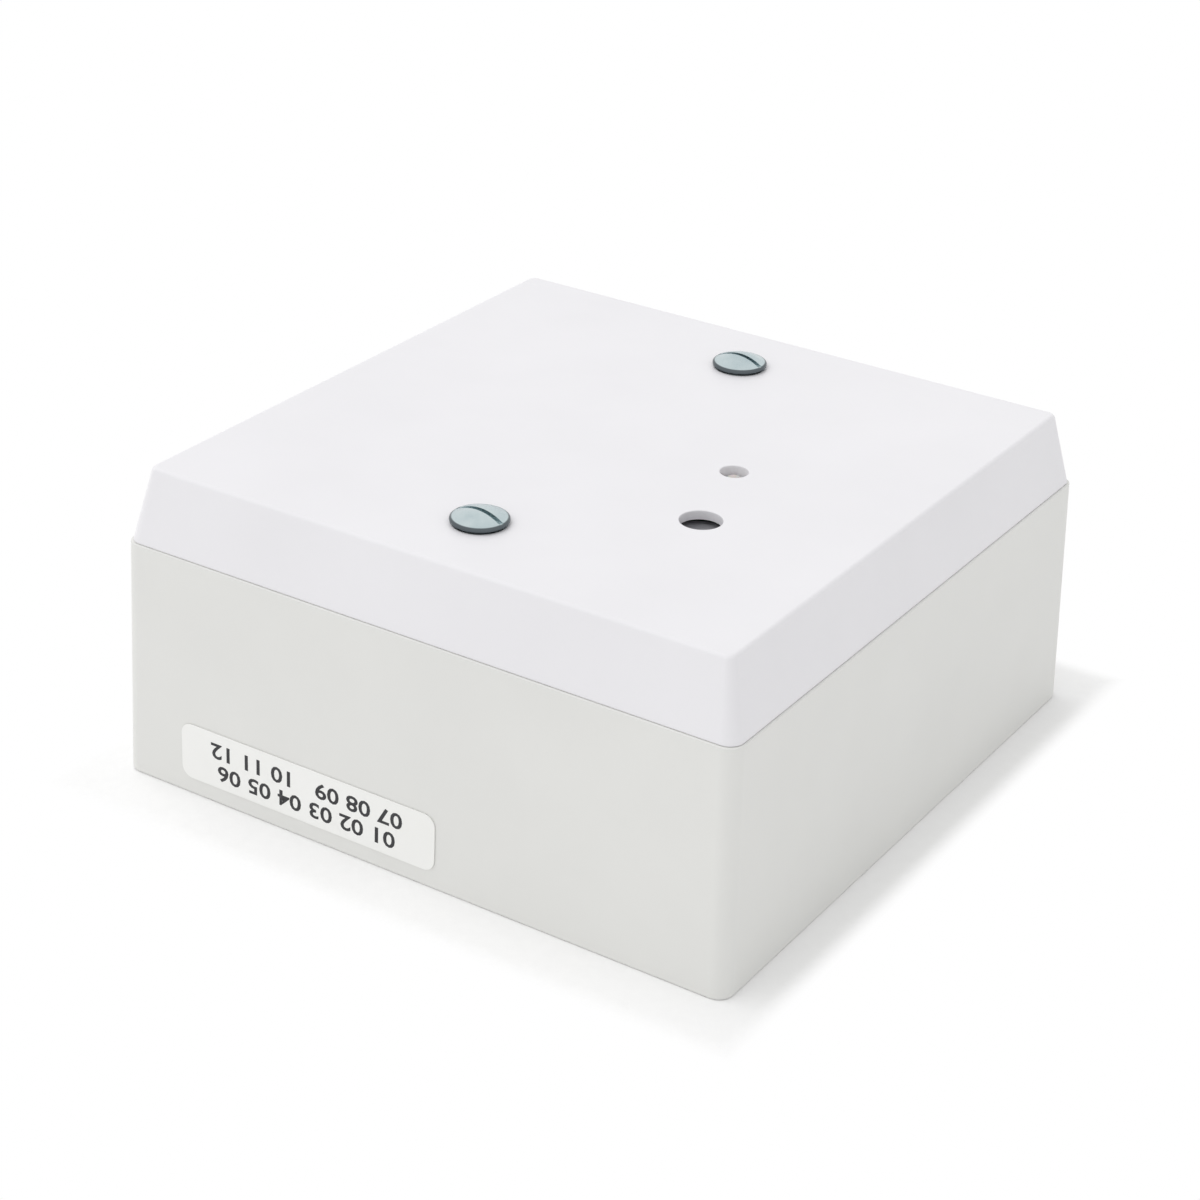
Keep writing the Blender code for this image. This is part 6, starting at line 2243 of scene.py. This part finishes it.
@dataclass
class TerminalBlock:
    """The four-way terminal block: a moulded housing, and a screw, a cage and a pin for each way."""

    ways: int = 4
    pitch: float = 5.08 * MM
    edge: float = 0.22 * MM
    mouth: float = 1.2 * MM
    mouth_radius: float = 1.5 * MM
    head_radius: float = 1.7 * MM
    head_height: float = 1.6 * MM
    shank: float = 1.0 * MM
    thread_depth: float = 0.18 * MM
    thread_pitch: float = 0.5 * MM
    slot_width: float = 0.5 * MM
    slot_depth: float = 0.8 * MM
    entry_width: float = 3.0 * MM
    entry_height: float = 2.0 * MM
    gap: float = 0.3 * MM
    small_gap: float = 0.2 * MM
    groove: float = 0.3 * MM
    travel: float = 1.5 * MM

    def __post_init__(self) -> None:
        """Take the places from the frame."""
        self.place = Extent.of("terminal_housing")
        self.screws = [Extent.of(f"terminal_screw_{way}") for way in range(1, self.ways + 1)]
        self.cages = [Extent.of(f"terminal_cage_{way}") for way in range(1, self.ways + 1)]
        self.pins = [Extent.of(f"terminal_pin_{way}") for way in range(1, self.ways + 1)]

    def well(self, screw: Extent) -> Mesh:
        """Cutter for the screw's well, narrow at its mouth, with a lead-in.

        Args:
            screw: the screw's extent.

        Returns:
            The cutter.
        """
        mouth = self.place.low.z
        chamber_floor = self.cages[0].low.z - self.travel - self.gap
        wide = self.head_radius + self.gap
        lead = 0.25 * MM
        profile = [
            (0, mouth - OVERCUT), (self.mouth_radius + lead, mouth - OVERCUT),
            (self.mouth_radius + lead, mouth), (self.mouth_radius, mouth + lead),
            (self.mouth_radius, mouth + self.mouth), (wide, mouth + self.mouth),
            (wide, chamber_floor + self.small_gap), (0, chamber_floor + self.small_gap),
        ]
        return screw.at(turned(profile, 32))

    def entry(self, cage: Extent, pin: Extent) -> Mesh:
        """Cutter for the wire's way in, with a funnel at its mouth.

        Args:
            cage: the cage's extent.
            pin: the pin's extent.

        Returns:
            The cutter.
        """
        low = pin.low.z + 0.6 * MM
        half, high = self.entry_width / 2, low + self.entry_height
        front = self.place.low.y
        hole = block((cage.centre.x - half, front - OVERCUT, low), (cage.centre.x + half, cage.low.y, high))
        lead = 0.35 * MM
        funnel = lofted(
            [
                (half + lead, self.entry_height / 2 + lead, 0.3 * MM, -OVERCUT),
                (half + lead, self.entry_height / 2 + lead, 0.3 * MM, 0),
                (half - 0.05 * MM, self.entry_height / 2 - 0.05 * MM, 0.25 * MM, 0.45 * MM),
            ],
            3,
        )
        rotated(funnel, -QUARTER, Axis.X)
        moved(funnel, cage.centre.x, front, (low + high) / 2)
        return combined(hole, Operation.ADD, [funnel])

    def housing(self) -> Mesh:
        """The moulding, with grooves between the ways and all its openings.

        Returns:
            The moulding.
        """
        body = block(self.place.low, self.place.high, self.edge, 3)
        cuts = []
        chamber_floor = self.cages[0].low.z - self.travel - self.gap
        for screw, cage, pin in zip(self.screws, self.cages, self.pins):
            half = cage.size.x / 2 + self.gap
            back = pin.high.y + self.gap
            near = (cage.centre.x - half, cage.low.y - self.gap, chamber_floor)
            cuts.append(block(near, (cage.centre.x + half, back, cage.high.z + self.gap)))
            cuts.append(self.well(screw))
            cuts.append(self.entry(cage, pin))
            tail = (pin.centre.x - 0.8 * MM, pin.high.y - 1.0 * MM, cage.high.z)
            cuts.append(block(tail, (pin.centre.x + 0.8 * MM, back - 0.1 * MM, self.place.high.z + OVERCUT)))
        for index in range(1, self.ways):
            x = self.place.low.x + index * self.pitch
            for y in (self.place.low.y, self.place.high.y):
                bar = rod(self.groove, -OVERCUT, self.place.size.z + OVERCUT, steps=12)
                cuts.append(moved(bar, x, y, self.place.low.z))
        return combined(body, Operation.CUT, cuts)

    def screw(self, place: Extent) -> Mesh:
        """A slotted cheese-head screw, head down, with a cut thread.

        Args:
            place: the screw's extent.

        Returns:
            The screw, in place.
        """
        tip = place.size.z
        edge = 0.12 * MM
        core = self.shank - self.thread_depth
        rim = arc((self.head_radius - edge, edge), edge, -QUARTER, 0, 3)
        profile = [(0, 0), *rim, (self.head_radius, self.head_height - edge)]
        profile += [(self.head_radius - edge, self.head_height), (core, self.head_height)]
        profile += [(core, tip - 0.2 * MM), (core - 0.2 * MM, tip), (0, tip)]
        reach, half = self.head_radius + OVERCUT, self.slot_width / 2
        slot = block((-reach, -half, -OVERCUT), (reach, half, self.slot_depth), 0.04 * MM)
        solid = combined(turned(profile, 40), Operation.CUT, [slot])
        low, high = self.head_height + 0.1 * MM, tip - 0.1 * MM
        thread = helix(self.shank, self.thread_depth, self.thread_pitch, low, high)
        return place.at(joined([solid, thread]), place.low.z)

    def cage(self, place: Extent) -> Mesh:
        """A bent clamp cage, open at the front and the back, with a threaded floor.

        Args:
            place: the cage's extent.

        Returns:
            The cage, in place.
        """
        side, floor = 0.7 * MM, 0.8 * MM
        frame = block(place.low, place.high, 0.3 * MM, 3)
        inner = (place.low.x + side, place.low.y - OVERCUT, place.low.z + floor)
        opening = block(
            inner, (place.high.x - side, place.high.y + OVERCUT, place.high.z - floor), 0.15 * MM,
        )
        bore = rod(
            self.shank + self.small_gap, place.low.z - OVERCUT, place.low.z + floor + 0.2 * MM, steps=32,
        )
        bore = place.at(bore)
        return combined(frame, Operation.CUT, [opening, bore])

    def build(self) -> None:
        """Make the block."""
        make_piece("terminal_moulding", self.housing(), GREEN_PLASTIC, "cover", ["terminal_housing"])
        for way, (screw, cage) in enumerate(zip(self.screws, self.cages), start=1):
            body = f"terminal_screw_{way}"
            make_piece(f"clamp_screw_{way}", self.screw(screw), ZINC_PLATE, body, [body])
            body = f"terminal_cage_{way}"
            make_piece(f"clamp_cage_{way}", self.cage(cage), NICKEL_PLATE, body, [body])
        dress_nodes([f"terminal_pin_{way}" for way in range(1, self.ways + 1)], TINNED_STEEL)


@dataclass
class RadioModule:
    """The radio board on its header, its screening can, and the antenna wire round the cover."""

    wall: float = 0.3 * MM
    edge: float = 0.35 * MM
    vent: float = 0.45 * MM
    wire: float = 0.6 * MM
    strand: float = 0.38 * MM
    bare: float = 1.6 * MM
    bend: float = 2.5 * MM
    rise: float = 3.0 * MM
    board_edge: float = 2.0 * MM

    def shield(self) -> Mesh:
        """The screening can, with rows of small vents in its face.

        Returns:
            The can, in place.
        """
        place = Extent.of("radio_shield")
        metal = can(place.size.xy, 3 * self.wall, self.wall, 0, place.size.z, self.edge)
        vents = []
        for column in range(-3, 4):
            for row in (-1, 0, 1):
                vent = rod(self.vent, -OVERCUT, OVERCUT * 0.6, steps=16)
                vents.append(moved(vent, column * 1.6 * MM, row * 1.9 * MM))
        metal = combined(metal, Operation.CUT, vents)
        return place.at(metal, place.low.z)

    def antenna_path(self) -> list[Vector]:
        """The wire's line: up from the board, out to the cover's side and round its corner.

        Returns:
            The points along the wire.
        """
        place = Extent.of("antenna_wire")
        board = Extent.of("circuit_board")
        run_x, run_y = place.high.x - self.wire, place.high.y - self.wire
        level = board.high.z + self.rise
        start_x = board.high.x - self.board_edge
        start_y = place.low.y + self.wire
        corners = [
            Vector((start_x, start_y, place.low.z)), Vector((start_x, start_y, level)),
            Vector((run_x, start_y, level)), Vector((run_x, run_y, level)),
            Vector((place.low.x, run_y, level)),
        ]
        path = [corners[0]]
        for before, corner, after in zip(corners, corners[1:], corners[2:]):
            bend = min(self.bend, (corner - before).length / 2, (after - corner).length / 2)
            path += rounded_corner(before, corner, after, bend, 10)
        return path + [corners[-1]]

    def build(self) -> None:
        """Make the shield and the wire, and dress the rest."""
        dress_nodes(["radio_board"], SOLDER_MASK)
        dress_nodes(["radio_header"], BLACK_PLASTIC)
        dress_nodes([f"radio_pin_{number}" for number in range(1, 6)], TURNED_BRASS)
        make_piece("shield_can", self.shield(), TINNED_STEEL, "cover", ["radio_shield"])
        path = self.antenna_path()
        bare = tube([path[0], path[0] + Vector((0, 0, self.bare * 1.5))], self.strand)
        make_piece("antenna_strand", bare, TINNED_STEEL, "cover")
        path[0] = path[0] + Vector((0, 0, self.bare))
        make_piece("antenna_sleeve", tube(path, self.wire, 8), WIRE_SLEEVE, "cover", ["antenna_wire"])


def assemblies() -> list:
    """Every sub-assembly, in the order it is built.

    Returns:
        The sub-assemblies.
    """
    return [
        BackBox(), ScrewInsert("front"), ScrewInsert("rear"), DateLabel(), CoverPlate(), CoverScrew("front"),
        CoverScrew("rear"), PushSwitch("test"), PushSwitch("pairing"), StatusLight(), MainBoard(),
        SmallParts(), Controller(), Crystal(), CanCapacitor(), Cell(), BatterySwitch(), TerminalBlock(),
        RadioModule(),
    ]


# ---------------------------------------------------------------- stage


class Backdrop(Enum):
    """What a backdrop material shows to the camera."""

    WHITE = "#ffffff"
    FLOOR = "#fbfbfb"


@dataclass(frozen=True)
class Stage:
    """A plain white floor, an even sky and one soft lamp."""

    floor_radius: float = 6.0
    sky: float = 0.7
    lamp: float = 1.05
    lamp_angle: float = math.radians(70)
    lamp_from: tuple[float, float, float] = (-0.5, -0.2, 1.0)
    shadow_across: tuple[float, float] = (3.0 * MM, 6.5 * MM)
    shadow_along: tuple[float, float] = (6.0 * MM, 9.5 * MM)

    def build(self) -> None:
        """Make the floor, the sky and the lamp."""
        mesh = bmesh.new()
        bmesh.ops.create_circle(mesh, cap_ends=True, segments=96, radius=self.floor_radius)
        floor = loose_object("floor", moved(mesh, z=-0.02 * MM))
        floor.data.materials.append(self.floor_material())
        self.light_sky()
        self.light_lamp()
        log.info("stage: floor, sky and lamp")

    def floor_material(self) -> Material:
        """Matt white paper: a touch of tooth, no gloss.

        Returns:
            The material.
        """
        made = bpy.data.materials.new("matt_white_paper")
        made.use_nodes = True
        tree = made.node_tree
        shader = tree.nodes["Principled BSDF"]
        shader.inputs["Roughness"].default_value = 0.9
        shader.inputs["Specular IOR Level"].default_value = 0.1
        place = add_node(tree, "ShaderNodeTexCoord").outputs["Object"]
        white = add_node(tree, "ShaderNodeEmission", {"Color": linear(Backdrop.WHITE.value)})
        inputs = {"Fac": self.beyond_the_shadow(tree, place), 1: shader.outputs[0], 2: white.outputs[0]}
        shown = add_node(tree, "ShaderNodeMixShader", inputs)
        tree.links.new(shown.outputs[0], tree.nodes["Material Output"].inputs["Surface"])
        tooth = add_node(tree, "ShaderNodeTexNoise", {"Vector": place, "Scale": per_metre(1.5 * MM)})
        tint = add_node(
            tree, "ShaderNodeMix",
            {
                "Factor": tooth.outputs["Fac"], 6: linear(Backdrop.FLOOR.value),
                7: linear(Backdrop.WHITE.value),
            },
            data_type="RGBA",
        )
        tree.links.new(tint.outputs[2], shader.inputs["Base Color"])
        return made

    def beyond_the_shadow(self, tree: Tree, place: Socket) -> Socket:
        """How far the paper fades to plain white, which starts a little way out from the box's foot.

        Args:
            tree: the material's node tree.
            place: the point on the piece.

        Returns:
            The share of plain white.
        """
        apart = add_node(tree, "ShaderNodeVectorMath", {0: place}, operation="ABSOLUTE").outputs["Vector"]
        axes = add_node(tree, "ShaderNodeSeparateXYZ", {"Vector": apart}).outputs
        foot = Extent.of("back_box").high.x
        fades = []
        for axis, (start, end) in (("X", self.shadow_across), ("Y", self.shadow_along)):
            inputs = {"Value": axes[axis], "From Min": foot + start, "From Max": foot + end}
            fade = add_node(tree, "ShaderNodeMapRange", inputs, interpolation_type="SMOOTHSTEP")
            fades.append(fade.outputs["Result"])
        faded = add_node(tree, "ShaderNodeMath", {0: fades[0], 1: fades[1]}, operation="MAXIMUM").outputs[0]
        return add_node(
            tree, "ShaderNodeMath", {0: faded, 1: self.seen(tree)}, operation="MULTIPLY",
        ).outputs[0]

    def seen(self, tree: Tree) -> Socket:
        """One for a ray that the picture sees the backdrop by, straight, mirrored or through glass.

        Args:
            tree: the material's or the world's node tree.

        Returns:
            One or nought.
        """
        rays = add_node(tree, "ShaderNodeLightPath").outputs
        inputs = {0: rays["Is Camera Ray"], 1: rays["Is Transmission Ray"]}
        through = add_node(tree, "ShaderNodeMath", inputs, operation="MAXIMUM").outputs[0]
        inputs = {0: through, 1: rays["Is Glossy Ray"]}
        return add_node(tree, "ShaderNodeMath", inputs, operation="MAXIMUM").outputs[0]

    def light_sky(self) -> None:
        """An even sky that looks white to the camera and in reflections, at a lower light on the object."""
        world = bpy.data.worlds.new("even_sky")
        bpy.context.scene.world = world
        world.use_nodes = True
        tree = world.node_tree
        sky = tree.nodes["Background"]
        sky.inputs["Color"].default_value = linear(Backdrop.WHITE.value)
        inputs = {"Value": self.seen(tree), "To Min": self.sky, "To Max": 1.0}
        strength = add_node(tree, "ShaderNodeMapRange", inputs)
        tree.links.new(strength.outputs["Result"], sky.inputs["Strength"])

    def light_lamp(self) -> None:
        """One broad lamp from the upper left, which polished metal doesn't mirror as a hot spot."""
        lamp = bpy.data.lights.new("broad_lamp", "SUN")
        lamp.energy = self.lamp
        lamp.angle = self.lamp_angle
        thing = bpy.data.objects.new("broad_lamp", lamp)
        bpy.context.collection.objects.link(thing)
        thing.visible_glossy = False
        thing.rotation_euler = Vector(self.lamp_from).to_track_quat("Z", "Y").to_euler()


@dataclass(frozen=True)
class Viewpoint:
    """The photograph's camera, as an orbit about a point on the object."""

    azimuth: float = math.radians(32.327)
    elevation: float = math.radians(27.26)
    roll: float = math.radians(1.851)
    distance: float = 371.21 * MM
    target: tuple[float, float, float] = (-7.991 * MM, 9.586 * MM, 12.845 * MM)
    lens: float = 82.3165
    sensor: float = 36.0

    def build(self) -> None:
        """Make the camera, and look through it."""
        level = math.cos(self.elevation)
        back = Vector(
            (math.sin(self.azimuth) * level, -math.cos(self.azimuth) * level, math.sin(self.elevation))
        )
        right = Vector((0, 0, 1)).cross(back).normalized()
        up = back.cross(right)
        turn = Matrix((right, up, back)).transposed() @ Matrix.Rotation(self.roll, 3, "Z")
        data = bpy.data.cameras.new("camera")
        data.lens = self.lens
        data.sensor_width = self.sensor
        data.clip_start = 0.01
        camera = bpy.data.objects.new("camera", data)
        bpy.context.collection.objects.link(camera)
        place = Matrix.Translation(Vector(self.target) + back * self.distance)
        camera.matrix_world = place @ turn.to_4x4()
        bpy.context.scene.camera = camera
        log.info("camera: %.0f mm lens, %.0f mm away", self.lens, self.distance / MM)


def main() -> None:
    """Build the stage and every sub-assembly, in order."""
    logging.basicConfig(level=logging.INFO, format="%(name)s %(message)s")
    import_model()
    view = bpy.context.scene.view_settings
    view.view_transform = "Standard"
    Viewpoint().build()
    Stage().build()
    for part in assemblies():
        part.build()


if __name__ == "__main__":
    main()
